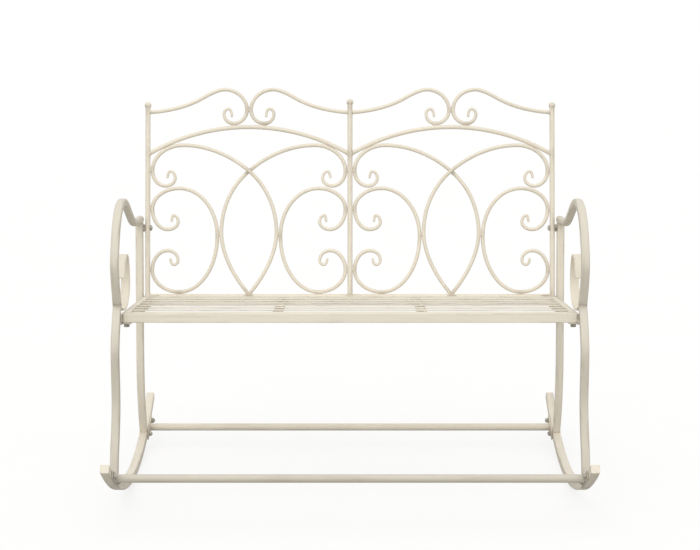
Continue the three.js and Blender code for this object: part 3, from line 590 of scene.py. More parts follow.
def add_piece(node, shells, slot="paint", look=None):
    """Joins surfaces into a smooth piece that replaces a solid and rides on the bench."""
    vertices, groups, *marks = zip(*shells)
    faces, offset = [], 0
    for points, shell_groups in zip(vertices, groups):
        for group in shell_groups:
            faces += (group + offset).tolist()
        offset += len(points)
    mesh = bpy.data.meshes.new(f"{node}.paint")
    mesh.from_pydata(leaned(np.concatenate(vertices)).tolist(), [], faces)
    for name, values in zip(("grain", "edge", "joint"), marks):
        kind, field = ("FLOAT_VECTOR", "vector") if name == "grain" else ("FLOAT", "value")
        layer = mesh.attributes.new(name, kind, "POINT")
        layer.data.foreach_set(field, np.concatenate(values).ravel())
    mesh.shade_smooth()
    mesh.materials.append(materials[look or slot])
    piece = bpy.data.objects.new(f"{node}.paint", mesh)
    scene.collection.objects.link(piece)
    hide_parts(node)
    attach(piece, "root")


# Paint. A noise is its stretch per metre (along and across the grain), detail and roughness.
BRUSH = ((5, 150, 150), 2, 0.5)
PATCH = ((9, 30, 30), 2, 0.5)
RUB = ((16, 120, 120), 3, 0.6)
CLOUD = ((4.5, 4.5, 4.5), 2, 0.5)
PEEL = ((520, 520, 520), 2, 0.5)
CHIP_STRETCH = (150, 150, 150)

# Values between which a cause of wash rises from nothing to full
BRUSHED = (0.46, 0.68)
PATCHED = (0.47, 0.66)
WORN = (0.47, 0.66)
CAUGHT = (0.3, 0.62)
CHIP_SIZE = (0.2, 0.1)
CHIPPED = (0.56, 0.62)
# Heights between which the painted shade below the seat rises from nothing to full
SEAT_SHADE_HEIGHT = (0.43, 0.36)

# What each cause adds to the wash, and what the wash and noises do to tone, gloss and relief
STREAK_WASH, EDGE_WASH, JOINT_WASH, CHIP_WASH = 0.16, 0.34, 0.3, 0.22
TONE, CLOUD_TONE = 0.94, 0.12
ROUGHNESS, WASH_ROUGHNESS, BRUSH_ROUGHNESS = 0.34, 0.28, 0.16
BRUSH_RELIEF, WASH_RELIEF, PEEL_RELIEF = 0.45, 0.7, 0.2
RELIEF_DEPTH = 0.4 * MM

WHITE_PAINT = (0.775, 0.712, 0.59, 1)
# Painted shade: a darker copy of the white paint, for the legs, arms and front foot bar
SHADED_PAINT = (0.655, 0.606, 0.505, 1)
BOLT_PAINT = (0.55, 0.52, 0.445, 1)
WASH = (0.27, 0.21, 0.155, 1)
BOLT_WASH = (0.14, 0.115, 0.09, 1)
# Painted shade: how much darker the legs' paint grows below the seat, which shades them
LEG_SEAT_SHADE = 0.09


def feed(tree, node, **inputs):
    """Links sockets to a node's inputs, or sets values, by name or by number, as i0."""
    for name, value in inputs.items():
        numbered = name[0] == "i" and name[1:].isdigit()
        socket = node.inputs[int(name[1:]) if numbered else name.replace("_", " ")]
        if isinstance(value, bpy.types.NodeSocket):
            tree.links.new(value, socket)
        else:
            socket.default_value = value
    return node


def add_node(tree, kind, settings=None, **inputs):
    """A shader node with its settings and inputs."""
    node = tree.nodes.new(kind)
    for name, value in (settings or {}).items():
        setattr(node, name, value)
    return feed(tree, node, **inputs)


def math(tree, operation, a, b, clamp=False):
    settings = {"operation": operation, "use_clamp": clamp}
    return add_node(tree, "ShaderNodeMath", settings, i0=a, i1=b).outputs[0]


def plus(tree, a, b):
    return math(tree, "ADD", a, b)


def minus(tree, a, b):
    return math(tree, "SUBTRACT", a, b)


def times(tree, a, b):
    return math(tree, "MULTIPLY", a, b)


def between(tree, value, limits):
    """0 at the first limit, 1 at the second, and a soft rise in between."""
    return add_node(tree, "ShaderNodeMapRange", {"interpolation_type": "SMOOTHSTEP"}, Value=value,
                    From_Min=limits[0], From_Max=limits[1]).outputs["Result"]


def stretched(tree, vector, stretch):
    return add_node(tree, "ShaderNodeVectorMath", {"operation": "MULTIPLY"},
                    i0=vector, i1=stretch).outputs[0]


def noise(tree, vector, kind):
    stretch, detail, roughness = kind
    return add_node(tree, "ShaderNodeTexNoise", Vector=stretched(tree, vector, stretch),
                    Scale=1.0, Detail=detail, Roughness=roughness).outputs["Fac"]


def mix(tree, factor, a, b):
    """A colour between two others."""
    return add_node(tree, "ShaderNodeMix", {"data_type": "RGBA"},
                    Factor=factor, A=a, B=b).outputs["Result"]


def object_place(tree):
    return tree.nodes.new("ShaderNodeTexCoord").outputs["Object"]


def mark(tree, name, output="Fac"):
    """A mark that the pieces' meshes carry."""
    return add_node(tree, "ShaderNodeAttribute", {"attribute_name": name}).outputs[output]


def paint_group():
    """Antique paint brushed along the iron: a brown grey wash in streaks, at edges and welds."""
    tree = bpy.data.node_groups.new("brushed_antique_paint", "ShaderNodeTree")
    for in_out, kind, names in (
            ("INPUT", "Vector", ("Grain", "Place")),
            ("INPUT", "Float", ("Edge", "Joint", "Wear", "Dust")),
            ("INPUT", "Color", ("Paint", "Wash")),
            ("OUTPUT", "Color", ("Color",)), ("OUTPUT", "Float", ("Roughness", "Height"))):
        for name in names:
            tree.interface.new_socket(name, in_out=in_out, socket_type="NodeSocket" + kind)
    given = tree.nodes.new("NodeGroupInput").outputs
    grain, place = given["Grain"], given["Place"]
    brush, patch, rub = (noise(tree, grain, kind) for kind in (BRUSH, PATCH, RUB))
    cloud, peel = (noise(tree, place, kind) for kind in (CLOUD, PEEL))
    spot = add_node(tree, "ShaderNodeTexVoronoi", Scale=1.0,
                    Vector=stretched(tree, place, CHIP_STRETCH)).outputs["Distance"]

    streak = times(tree, between(tree, brush, BRUSHED), between(tree, patch, PATCHED))
    edge = times(tree, given["Edge"], between(tree, rub, WORN))
    joint = times(tree, given["Joint"], between(tree, rub, CAUGHT))
    chip = times(tree, between(tree, spot, CHIP_SIZE), between(tree, patch, CHIPPED))
    wash = times(tree, streak, STREAK_WASH)
    for amount, share in ((edge, EDGE_WASH), (joint, JOINT_WASH), (chip, CHIP_WASH)):
        wash = plus(tree, wash, times(tree, amount, share))
    wash = math(tree, "MULTIPLY", wash, given["Wear"], clamp=True)

    # Painted shade: the paint darkens below the seat's height, by the amount its material gives,
    # where the seat shades the legs
    above_floor = add_node(tree, "ShaderNodeSeparateXYZ", Vector=place).outputs["Z"]
    dust = times(tree, between(tree, above_floor, SEAT_SHADE_HEIGHT), given["Dust"])
    tone = minus(tree, plus(tree, times(tree, cloud, CLOUD_TONE), TONE), dust)
    toned = add_node(tree, "ShaderNodeHueSaturation", Color=given["Paint"], Value=tone)
    colour = mix(tree, wash, toned.outputs["Color"], given["Wash"])

    rough = plus(tree, times(tree, wash, WASH_ROUGHNESS), times(tree, brush, BRUSH_ROUGHNESS))
    rough = plus(tree, rough, ROUGHNESS)
    relief = minus(tree, times(tree, brush, BRUSH_RELIEF), times(tree, wash, WASH_RELIEF))
    relief = plus(tree, relief, times(tree, peel, PEEL_RELIEF))
    add_node(tree, "NodeGroupOutput", Color=colour, Roughness=rough, Height=relief)
    return tree


def painted(name, group, paint, wash, wear, bump, dust=0.0):
    """A painted surface that reads the marks of its piece."""
    material = bpy.data.materials.new(name)
    material.use_nodes = True
    tree = material.node_tree
    coat = add_node(tree, "ShaderNodeGroup", {"node_tree": group}, Wear=wear, Dust=dust,
                    Paint=paint, Wash=wash, Place=object_place(tree), Edge=mark(tree, "edge"),
                    Joint=mark(tree, "joint"), Grain=mark(tree, "grain", "Vector")).outputs
    relief = add_node(tree, "ShaderNodeBump", Strength=bump, Distance=RELIEF_DEPTH,
                      Height=coat["Height"])
    feed(tree, tree.nodes["Principled BSDF"], Base_Color=coat["Color"],
         Roughness=coat["Roughness"], Normal=relief.outputs["Normal"])
    return material


coats = paint_group()
materials = {
    "paint": painted("antique_white_paint", coats, WHITE_PAINT, WASH, 1.0, 0.3),
    # A darker copy of the white paint that darkens further below the seat: painted shade
    "leg": painted("shaded_white_paint", coats, SHADED_PAINT, WASH, 1.0, 0.3, LEG_SEAT_SHADE),
    "fastener": painted("painted_bolt", coats, BOLT_PAINT, BOLT_WASH, 1.5, 0.4),
}

# Side frames

tube = box_section(TUBE, TUBE, TUBE_ROUNDING)
rocker_tube = box_section(ROCKER_TUBE, ROCKER_TUBE, ROCKER_ROUNDING)
strip = box_section(STRIP_WIDTH, STRIP_THICKNESS, STRIP_ROUNDING)


def rocker_angle(y):
    """The angle round the arc at which the rocker's middle line has this y."""
    return np.arcsin((y - ARC_Y) / ROCKER_MIDDLE)


def mitred(points, tangents, at):
    """Clears a tube's end for the slanted cut at the kink, and gives each ring its direction."""
    away = np.linalg.norm(points - points[at], axis=1)
    keep = (away > MITRE_ROOM) | (away == 0)
    points, tangents = points[keep], tangents[keep]
    square = normals(tangents)
    cut = heading(KINK_MITRE + 90)
    square[at] = cut / (cut @ square[at])
    return points, tangents, square


kink = (KINK_Y, KINK_Z)
under_arm = (REAR_REACH, ARM_REAR_Z - TUBE / 2)
front_angle = rocker_angle(-1.1731 * REACH)
rear_angle = rocker_angle(1.2407 * REAR_REACH)
front_foot, rear_foot = rocker_point(front_angle), rocker_point(rear_angle)
front_leg_nodes = [
    (*front_foot, FRONT_FOOT_TURN),
    *in_field(REACH, 0, KINK_Z, [
        (-1.0885, 0.3009, 65), (-0.9823, 0.531, 91), (-1.0192, 0.7633, 90)]),
    (*kink, FRONT_TOP_TURN)]
rear_leg_nodes = [
    (*rear_foot, REAR_FOOT_TURN),
    *in_field(REAR_REACH, 0, KINK_Z, [(1.0707, 0.3319, 112), (0.981, 0.6637, 90)]),
    (1.005 * REAR_REACH, KINK_Z + 0.7362 * ARM_SPAN, REAR_TOP_TURN)]
arm_nodes = [
    (*kink, 121),
    *in_field(REACH, KINK_Z, ARM_SPAN, [
        (-1, 0.4085, 90), (-0.8635, 0.7489, 56), (-0.4038, 1, 0), (0.5519, 0.7447, 0)]),
    (REAR_REACH + ARM_TAIL, ARM_REAR_Z, 0)]
arm_scroll_nodes = in_field(REACH, KINK_Z, ARM_SPAN, [
    (-0.8308, -0.0255, -18), (-0.5923, -0.0596, 0), (-0.25, 0.2043, 90), (-0.4038, 0.4681, 180),
    (-0.6404, 0.2596, 250)])


def bearer(front_points, rear_points, side):
    """The angle bar welded from leg to leg: an upright wall and a shelf under the side rail."""
    front = np.interp(BEARER_TOP, front_points[:, 1], front_points[:, 0]) - BEARER_TAIL
    rear = np.interp(BEARER_TOP, rear_points[:, 1], rear_points[:, 0]) + BEARER_TAIL
    bottom, inner = SHELF_TOP - BEARER, BEARER_FACE - BEARER
    wall = beam((inner, front, bottom), (BEARER_FACE, rear, BEARER_TOP), 1, BEARER_ROUNDING,
                spread=16 * MM)
    # The shelf laps into the wall, and its underside lies a hair above the wall's
    shelf = beam((LEG_FACE - SHELF_WIDTH, -SEAT_HALF_DEPTH, bottom + 0.05 * MM),
                 (inner + 0.8 * MM, SEAT_HALF_DEPTH, SHELF_TOP), 1, BEARER_ROUNDING,
                 spread=30 * MM)
    mirror = np.array([side, 1, 1])
    wall, shelf = (outward(shell[0] * mirror, *shell[1:]) for shell in (wall, shelf))
    # The wall's edges and ends carry painted shade, for the shade between the legs and the seat
    # rail
    return [grimed_and_shaded(wall, "bearer"), shelf]


cut = ("bevel", END_BEVEL)
ease = END_BEVEL / ROCKER_RADIUS
angle = np.linspace(-ROCKER_FRONT + ease, ROCKER_REAR - ease, ROCKER_RINGS)
rocker_path = rocker_point(angle), circle(angle)
front_path, rear_path = path(front_leg_nodes), path(rear_leg_nodes)
*leg_path, leg_square = mitred(*front_path, -1)
*arm_path, arm_square = mitred(*path(arm_nodes), 0)
arm_run = run_along(arm_path[0])
arm_soft = np.clip((arm_run / arm_run[-1] - ARM_SOFT_FROM) / ARM_SOFT_OVER, 0, 1)
curl_path = path(arm_scroll_nodes)


def on_rocker(angle):
    """The rocker's upper face at an angle: the heading that it squares up to and a point on it."""
    return np.degrees(angle) + 90, rocker_point(angle, ROCKER_RADIUS - ROCKER_TUBE)


for side, name in SIDES:
    place = side_place(side)
    rocker = bar(rocker_path, rocker_tube, place, contacts=[front_foot, rear_foot],
                 ends=(cut, cut))
    add_piece(f"rocker_{name}", [rocker])

    leg = bar(leg_path, tube, place, contacts=[front_foot, kink], square=leg_square)
    foot_weld = weld(front_foot, FRONT_FOOT_TURN, tube, place, *on_rocker(front_angle),
                     FOOT_BEAD, WELD_REACH)
    kink_weld = weld(kink, FRONT_TOP_TURN, tube, place, KINK_MITRE, kink, KINK_BEAD, WELD_REACH)
    shells = [leg, *bearer(front_path[0], rear_path[0], side),
              grimed_and_shaded(foot_weld, "front weld"), kink_weld]
    # The front legs take the darker paint: painted shade
    add_piece(f"front_leg_{name}", shells, look="leg")

    leg = bar(rear_path, tube, place, contacts=[rear_foot, under_arm])
    foot_weld = weld(rear_foot, REAR_FOOT_TURN, tube, place, *on_rocker(rear_angle),
                     FOOT_BEAD, WELD_REACH)
    arm_weld = weld(rear_path[0][-1], REAR_TOP_TURN, tube, place, 90, under_arm,
                    ARM_BEAD, WELD_REACH)
    add_piece(f"rear_leg_{name}", [leg, grimed_and_shaded(foot_weld, "rear weld"), arm_weld])

    arm = bar(arm_path, tube, place, contacts=[kink, under_arm],
              ends=(None, ("dome", ARM_DOME)), square=arm_square, soft=ARM_SOFTNESS * arm_soft)
    # The arms take the darker paint: painted shade
    add_piece(f"armrest_{name}", [arm], look="leg")

    flush = np.full(len(curl_path[0]), (TUBE - STRIP_WIDTH) / 2)
    scroll = bar(curl_path, strip, place, lift=flush, contacts=[kink], ends=(None, cut))
    # The strip's foot at the kink is darkened: painted shade under the strip
    add_piece(f"arm_scroll_{name}", [grimed_and_shaded(scroll, "arm scroll")])

# Foot bars and their bolts

# Shares of a dome's height and radius, from its seat to its top
DOME = [(0, 0), (0, 0.9), (0.06, 0.985), (0.16, 1), (0.27, 0.985), (0.42, 0.94), (0.58, 0.86),
        (0.72, 0.74), (0.84, 0.58), (0.93, 0.4), (0.98, 0.2), (1, 0)]


def hexagonal(radius, phase=0.0):
    """The reach of a hexagon at each angle, from its corners' radius."""
    flat_reach = radius * np.cos(np.pi / 6)
    return lambda angle: flat_reach / np.cos((angle + phase) % (np.pi / 3) - np.pi / 6)


def domed_head(place, height):
    """A round head with a soft dome over a short upright rim, standing on its seat at 0."""
    return turned([(-up * height, out * HEAD_RADIUS) for up, out in DOME], place, 32)


def capped_head(place):
    """A six-sided foot with eased corners under a round cap, standing on its seat at 0."""
    foot = [
        (0, 0), (0, HEAD_RADIUS - 0.6 * MM), (0.5 * MM, HEAD_RADIUS),
        (CAP_FOOT - 0.9 * MM, HEAD_RADIUS), (CAP_FOOT - 0.3 * MM, CAP_RADIUS + 0.5 * MM),
        (CAP_FOOT, CAP_RADIUS)]
    cap = [(CAP_FOOT + CAP_RISE * np.sin(t), CAP_RADIUS * np.cos(t))
           for t in np.linspace(0.15, np.pi / 2, 9)]
    return turned([(-up, out) for up, out in foot + cap], place, 60,
                  shape=hexagonal(HEAD_RADIUS))


def eased(start, end, radius, inset, depth):
    """The profile of a disc whose rims are cut back by an inset over a depth."""
    return [(start, 0), (start, radius - inset), (start + depth, radius), (end - depth, radius),
            (end, radius - inset), (end, 0)]


def shank(place, start, end):
    """A bolt's plain round body."""
    return turned([(start, 0), (start, SHANK_RADIUS), (end, SHANK_RADIUS), (end, 0)], place, 16)


foot_bar_section = round_section(FOOT_BAR_RADIUS, 28)
for angle, name in ((FRONT_BAR, "front"), (REAR_BAR, "rear")):
    place = cross_place(angle)
    middle = straight(PLATE_FACE + LAP, 0.0, 0.86, 0.8, 16, 30)
    contacts = [(-PLATE_FACE, 0), (PLATE_FACE, 0)]
    shells = [bar(middle, foot_bar_section, place, contacts=contacts)]
    for side, hand in SIDES:
        local, *rest = beam(
            (side * PLATE_FACE, -PLATE_LENGTH / 2, -ROCKER_TUBE / 2),
            (side * (PLATE_FACE + PLATE_THICKNESS), PLATE_LENGTH / 2, ROCKER_TUBE / 2),
            1, PLATE_ROUNDING)
        plate = outward(place(local[:, ::2], local[:, 1]), *rest)
        bead = weld((side * PLATE_FACE, 0), 0, foot_bar_section, place, 0)
        shells += [grimed_and_shaded(plate, "plate"), grimed_and_shaded(bead, "plate weld")]
        for number, offset in ((1, -FOOT_BOLT), (2, FOOT_BOLT)):
            def bolt_place(flat, out, offset=offset, side=side):
                x = side * (PLATE_FACE - SEAM + flat[..., 0])
                return place(joined(x, flat[..., 1]), out + offset)
            head = capped_head(bolt_place)
            body = shank(bolt_place, -LAP, FOOT_SHANK)
            add_piece(f"foot_bolt_{name}_{number}_{hand}", [grimed_and_shaded(head, "bolt head"), body],
                      "fastener")
    # The front foot bar takes the darker paint: painted shade
    add_piece(f"foot_bar_{name}", shells, look="leg" if name == "front" else "paint")

# Seat

rail_inner = SEAT_HALF_DEPTH - RAIL_WIDTH
rail_bottom = SEAT_TOP - RAIL_HEIGHT
between_rails = rail_inner - SEAM
support_top = SEAT_TOP - SLAT_THICKNESS - SEAM
support_inner = SUPPORT_MIDDLE - SUPPORT_WIDTH / 2
washer_profile = eased(0, WASHER, WASHER_RADIUS, 0.3 * MM, 0.3 * MM)
hex_profile = [
    (WASHER, 0), (WASHER, HEX_RADIUS - 0.2 * MM), (WASHER + 0.4 * MM, HEX_RADIUS),
    (HEX_HEIGHT - 1.1 * MM, HEX_RADIUS + 0.1 * MM), (HEX_HEIGHT - 0.3 * MM, HEX_RADIUS - 0.7 * MM),
    (HEX_HEIGHT, HEX_RADIUS - 1.2 * MM), (HEX_HEIGHT, 0)]
for side, name in ((-1, "front"), (1, "rear")):
    rail = beam((-SEAT_HALF_WIDTH, side * SEAT_HALF_DEPTH, rail_bottom),
                (SEAT_HALF_WIDTH, side * rail_inner, SEAT_TOP), 0, RAIL_ROUNDING, ())
    add_piece(f"seat_rail_{name}", [rail])
for side, name in SIDES:
    rail = beam((side * (SEAT_HALF_WIDTH - RAIL_WIDTH), -between_rails, rail_bottom),
                (side * SEAT_HALF_WIDTH, between_rails, SEAT_TOP), 1, RAIL_ROUNDING)
    add_piece(f"seat_rail_side_{name}", [rail])
    support = beam((side * support_inner, -between_rails, support_top - SUPPORT_THICKNESS),
                   (side * (support_inner + SUPPORT_WIDTH), between_rails, support_top), 1,
                   SUPPORT_ROUNDING)
    # The supports are darkened all over: painted shade under the slats
    add_piece(f"slat_support_{name}", [grimed_and_shaded(support, "slat support")])
    for forward, hand in ((-1, "front"), (1, "rear")):
        def bolt_place(flat, out, side=side, forward=forward):
            z = SHELF_TOP - BEARER - SEAM - flat[..., 0]
            return joined(side * SEAT_BOLT_X + flat[..., 1], forward * SEAT_BOLT_Y + out, z)
        washer = turned(washer_profile, bolt_place, 40)
        head = turned(hex_profile, bolt_place, 60, shape=hexagonal(HEX_RADIUS, np.pi / 6))
        body = shank(bolt_place, -SEAT_SHANK, LAP)
        add_piece(f"seat_bolt_{hand}_{name}",
                  [grimed_and_shaded(washer, "washer"), grimed_and_shaded(head, "bolt head"), body], "fastener")

pitch = (2 * rail_inner - SEAM) / SLAT_COUNT
slat_half = SEAT_HALF_WIDTH - RAIL_WIDTH - SEAM
slat_joints = (-slat_half, -SUPPORT_MIDDLE, SUPPORT_MIDDLE, slat_half)
for i in range(SLAT_COUNT):
    front = i * pitch - between_rails
    slat = beam((-slat_half, front, SEAT_TOP - SLAT_THICKNESS),
                (slat_half, front + SLAT_WIDTH, SEAT_TOP), 0, SLAT_ROUNDING, slat_joints, 8 * MM)
    # The slats' edges are darkened, partly as painted shade in the gaps between them
    add_piece(f"seat_slat_{i + 1}", [grimed_and_shaded(slat, "slat")])

# Back

post_section = round_section(POST_RADIUS, 24)
arch_section = round_section(ARCH, 20)
scroll_section = round_section(SCROLL - SCROLL_EASE, 18)
whole_back = back_place()


def post(x, bottom, ball):
    """A round post with a ball on top: an eased foot, a straight shaft and the ball's circle."""
    neck = np.arcsin(POST_RADIUS / BALL_RADIUS)
    top = ball - BALL_RADIUS * np.cos(neck) - 2 * MM
    foot = [(bottom, 0), (bottom, 0.86 * POST_RADIUS), (bottom + 1 * MM, POST_RADIUS)]
    shaft = [(height, POST_RADIUS) for height in np.linspace(bottom + 8 * MM, top, 60)]
    globe = [(ball - BALL_RADIUS * np.cos(t), BALL_RADIUS * np.sin(t))
             for t in np.linspace(neck, np.pi, 22)]
    contacts = [(height, 0) for height in (0, SPRING, ball - BALL_RADIUS)]
    return turned(foot + shaft + globe, upright_place(x), 28, contacts=contacts)


for x, bottom, extra, name in (
        (0, -RAIL_DROP, CENTRE_BALL_EXTRA, "centre"),
        (END_POST_X, -POST_DROP, 0, "right"), (-END_POST_X, -POST_DROP, 0, "left")):
    shells = [post(x, bottom, BALL_HEIGHT + extra)]
    if name == "centre":
        on_rail = (0, POST_RADIUS - RAIL_DROP)
        shells.append(weld((0, 0), 90, post_section, whole_back, 90, on_rail))
    add_piece(f"back_post_{name}", shells)

rail_half = END_POST_X - 2 * MM
middle = straight(rail_half, -RAIL_DROP, 0.9, 0.85, 14, 40)
contacts = [(-rail_half, 0), (0, 0), (rail_half, 0)]
shells = [bar(middle, post_section, whole_back, contacts=contacts)]
for side, name in SIDES:
    shells.append(weld((side * (END_POST_X - POST_RADIUS), -RAIL_DROP), 0, post_section,
                       whole_back, 0))
for x in SEAT_TACKS:
    shells.append(tack((x, 3.2 * MM - RAIL_DROP), 0, whole_back, SEAT_TACK, POST_RADIUS - 1 * MM))
add_piece("back_rail", shells)

arch_turn = np.degrees(np.arcsin(PANEL_HALF / ARCH_CURVE))
arch_nodes = [(-PANEL_HALF, SPRING, arch_turn), (0, CROWN, 0), (PANEL_HALF, SPRING, -arch_turn)]

c_span = 0.7607 * SPRING - RAIL_REST
c_belly = (BULGE + 2 * SCROLL + SEAM, RAIL_REST + 0.539 * c_span)
touch_shares, foot_share = (0.8026, 0.2134), 0.7193
c_touches = [(PANEL_REACH, RAIL_REST + share * c_span) for share in touch_shares]
c_foot = (foot_share * PANEL_REACH, RAIL_REST)
c_nodes = [
    *in_field(PANEL_REACH, RAIL_REST, c_span, [
        (0.8002, 0.6852, 95), (0.784, 0.7405, 180), (0.7327, 0.6773, 270), (0.8414, 0.6032, 0),
        (1, touch_shares[0], 90), (0.7214, 1, 180)]),
    (*c_belly, 270),
    *in_field(PANEL_REACH, RAIL_REST, c_span, [
        (foot_share, 0, 0), (1, touch_shares[1], 90), (0.8418, 0.3997, 180),
        (0.7335, 0.3079, 270), (0.7759, 0.2623, 0), (0.8123, 0.3158, 85)])]

crest_x = 0.1616 * PANEL_REACH
crest_foot = (crest_x, CREST_REST - ARCH_CURVE + np.sqrt(ARCH_CURVE**2 - crest_x**2))
crest_shoulder = (SCROLL + SEAM / 2, CREST_REST + 0.3874 * CREST_RISE)
crest_end = (PANEL_HALF, CREST_REST + 0.3116 * CREST_RISE)
crest_nodes = [
    *in_field(PANEL_REACH, CREST_REST, CREST_RISE, [
        (0.1786, 0.2007, 92), (0.213, 0.4166, 0), (0.2586, 0.2672, 270)]),
    (*crest_foot, 180), (*crest_shoulder, 90),
    *in_field(PANEL_REACH, CREST_REST, CREST_RISE, [(0.2542, 1, 0), (0.4769, 0.749, -30)]),
    (*crest_end, CREST_END_TURN)]

crossing_share, lattice_share = 0.8839, 0.8858
lattice_crossing = (0, crossing_share * SPRING)
lattice_touch = (PANEL_REACH, lattice_share * SPRING)
lattice_end = np.array([-SCROLL - SEAM / 2, RAIL_REST])
lattice_tip = lattice_end + 3 * MM * heading(LATTICE_FOOT_TURN)
lattice_nodes = [
    *in_field(PANEL_REACH, 0, SPRING, [
        (0.8442, 0.8391, 95), (0.8175, 0.8812, 180), (0.7638, 0.8336, 270), (0.8628, 0.778, 0),
        (1, lattice_share, 90), (0.683, 1.0652, 180), (0, crossing_share, 220.3)]),
    (-BULGE, 0.4512 * SPRING, 270), (*lattice_end, LATTICE_FOOT_TURN),
    (*lattice_tip, LATTICE_FOOT_TURN)]

arch_path, c_path = path(arch_nodes, 6 * MM, 2), path(c_nodes)
crest_path, lattice_path = path(crest_nodes), path(lattice_nodes)
# The two lattice bars of a panel pass each other in front and behind
away = np.linalg.norm(lattice_path[0] - lattice_crossing, axis=1) / CROSSING_REACH
passing = (SCROLL + SEAM / 2) * (0.5 + 0.5 * np.cos(np.minimum(1, away) * np.pi))
curl_dome, foot_dome = ("dome", 3 * MM), ("dome", 4 * MM)
post_side = PANEL_HALF - POST_RADIUS
beside_post = post_side - SEAM / 2
for side, name in SIDES:
    place = back_place(side, PANEL_HALF)
    contacts = [(-PANEL_HALF, SPRING), (PANEL_HALF, SPRING)]
    shells = [bar(arch_path, arch_section, place, contacts=contacts)]
    for end in (-1, 1):
        slope = -end * arch_turn
        into_post = heading(slope) * POST_RADIUS * end / np.cos(np.radians(arch_turn))
        meets = np.array([end * PANEL_HALF, SPRING]) - into_post
        shells.append(weld(meets, slope, arch_section, place, 0, size=ARCH_BEAD))
    add_piece(f"arch_{name}", shells)

    for mirror, hand in ((1, "outer"), (-1, "inner")):
        place = back_place(side, PANEL_HALF, mirror)
        shells = [
            bar(crest_path, scroll_section, place, thinned(crest_path[0]),
                contacts=[crest_foot, crest_shoulder, crest_end], ends=(curl_dome, None)),
            tack((crest_x, crest_foot[1] - SCROLL - SEAM / 2), -4, place),
            weld((post_side, crest_end[1]), CREST_END_TURN, scroll_section, place, 0,
                 (post_side + 0.4 * MM, crest_end[1]), CREST_BEAD)]
        if mirror == 1:
            shells.append(tack((0, crest_shoulder[1]), 90, place))
        add_piece(f"crest_scroll_{name}_{hand}", shells)

        shells = [
            bar(lattice_path, scroll_section, place, thinned(lattice_path[0]), mirror * passing,
                [lattice_touch, lattice_crossing, lattice_end], (curl_dome, foot_dome)),
            tack((beside_post, lattice_touch[1]), 90, place)]
        if mirror == 1:
            shells += [tack((0, RAIL_REST - SCROLL), 0, place, LATTICE_FOOT_TACK),
                       tack(lattice_crossing, 90, place, CROSSING_TACK)]
        add_piece(f"lattice_bar_{name}_{hand}", shells)

        grow = thinned(c_path[0]) * thinned(c_path[0], True)
        shells = [
            bar(c_path, scroll_section, place, grow, contacts=[*c_touches, c_foot, c_belly],
                ends=(curl_dome, curl_dome)),
            *(tack((beside_post, touch[1]), 90, place) for touch in c_touches),
            tack((c_foot[0], RAIL_REST - SCROLL - SEAM / 2), 0, place),
            tack(((BULGE + c_belly[0]) / 2, c_belly[1] + 4 * MM), 90, place)]
        add_piece(f"c_scroll_{name}_{hand}", shells)

    nut = eased(END_POST_X + POST_RADIUS + SEAM, LEG_FACE - SEAM, SPACER_RADIUS, 1.3 * MM, 0.9 * MM)
    place = back_place(side, foot=BACK_BOLT_HEIGHT)
    hexagon = turned(nut, place, 60, shape=hexagonal(SPACER_RADIUS))
    add_piece(f"back_spacer_{name}", [grimed_and_shaded(hexagon, "spacer")], "fastener")

    seat_x = END_POST_X - POST_RADIUS - SEAM
    place = back_place(side, seat_x, foot=BACK_BOLT_HEIGHT)
    head = domed_head(place, BACK_DOME)
    body = shank(place, -LAP, LEG_FACE + BACK_SHANK_PAST_LEG - seat_x)
    add_piece(f"back_bolt_{name}", [grimed_and_shaded(head, "back bolt"), body], "fastener")

# Floor, light and camera
FLOOR_MOTTLE = ((3, 3, 3), 3, 0.6)
FLOOR_COLOURS = ((0.42, 0.415, 0.405, 1), (0.46, 0.455, 0.445, 1))
FLOOR_ROUGHNESS, FLOOR_SHINE = 0.9, 0.1
FLOOR_GLOW = 1.41
GLOW_SHARE = 0.55
WHITE = (1, 1, 1, 1)
ROOM_DIMMED = 0.06
SUNS = (("high_softbox", (26, 0, -24), 0.5, 40), ("front_softbox", (72, 0, -12), 0.58, 60))
CAMERA_PLACE = (0.0, -4.3533, 1.3201)
CAMERA_TILT = 79.5
LENS, SENSOR = 94.27, 36


def camera_ray(tree):
    return tree.nodes.new("ShaderNodeLightPath").outputs["Is Camera Ray"]


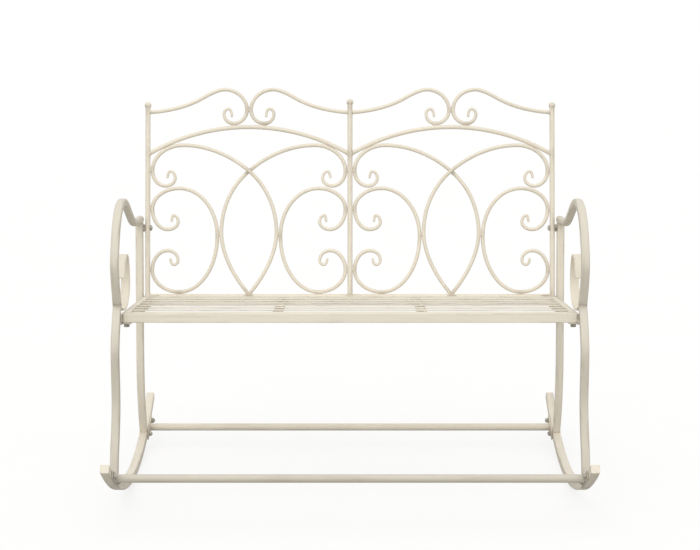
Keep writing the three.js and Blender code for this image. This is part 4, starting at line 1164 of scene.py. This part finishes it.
def floor_material():
    """A pale floor that keeps the bench's shadow and is almost white to the camera."""
    material = bpy.data.materials.new("pale_floor")
    material.use_nodes = True
    tree = material.node_tree
    colour = mix(tree, noise(tree, object_place(tree), FLOOR_MOTTLE), *FLOOR_COLOURS)
    shader = feed(tree, tree.nodes["Principled BSDF"], Base_Color=colour,
                  Roughness=FLOOR_ROUGHNESS, Specular_IOR_Level=FLOOR_SHINE)
    glow = add_node(tree, "ShaderNodeEmission", Color=WHITE, Strength=FLOOR_GLOW)
    mixed = add_node(tree, "ShaderNodeMixShader", Fac=times(tree, camera_ray(tree), GLOW_SHARE),
                     i1=shader.outputs["BSDF"], i2=glow.outputs["Emission"])
    feed(tree, tree.nodes["Material Output"], Surface=mixed.outputs["Shader"])
    return material


mesh = bpy.data.meshes.new("floor")
mesh.from_pydata([(-60, -60, 0), (60, -60, 0), (60, 90, 0), (-60, 90, 0)], [], [(0, 1, 2, 3)])
mesh.materials.append(floor_material())
floor = bpy.data.objects.new("floor", mesh)
scene.collection.objects.link(floor)

# The room is white to the camera, and a little dimmer as a light
world = bpy.data.worlds.new("soft_white_room")
scene.world = world
world.use_nodes = True
tree = world.node_tree
unseen = minus(tree, 1.0, camera_ray(tree))
strength = minus(tree, 1.0, times(tree, unseen, ROOM_DIMMED))
feed(tree, tree.nodes["Background"], Color=WHITE, Strength=strength)


def add_sun(name, turn, power, spread):
    """A wide soft lamp, turned from straight down by its angles in degrees."""
    lamp = bpy.data.lights.new(name, "SUN")
    lamp.energy = power
    lamp.angle = np.radians(spread)
    lamp_object = bpy.data.objects.new(name, lamp)
    lamp_object.rotation_euler = [float(np.radians(t)) for t in turn]
    scene.collection.objects.link(lamp_object)


for sun in SUNS:
    add_sun(*sun)

camera_data = bpy.data.cameras.new("camera")
camera_data.lens = LENS
camera_data.sensor_width = SENSOR
camera = bpy.data.objects.new("camera", camera_data)
camera.location = CAMERA_PLACE
camera.rotation_euler = (float(np.radians(CAMERA_TILT)), 0.0, 0.0)
scene.collection.objects.link(camera)
scene.camera = camera

scene.view_settings.view_transform = "Standard"
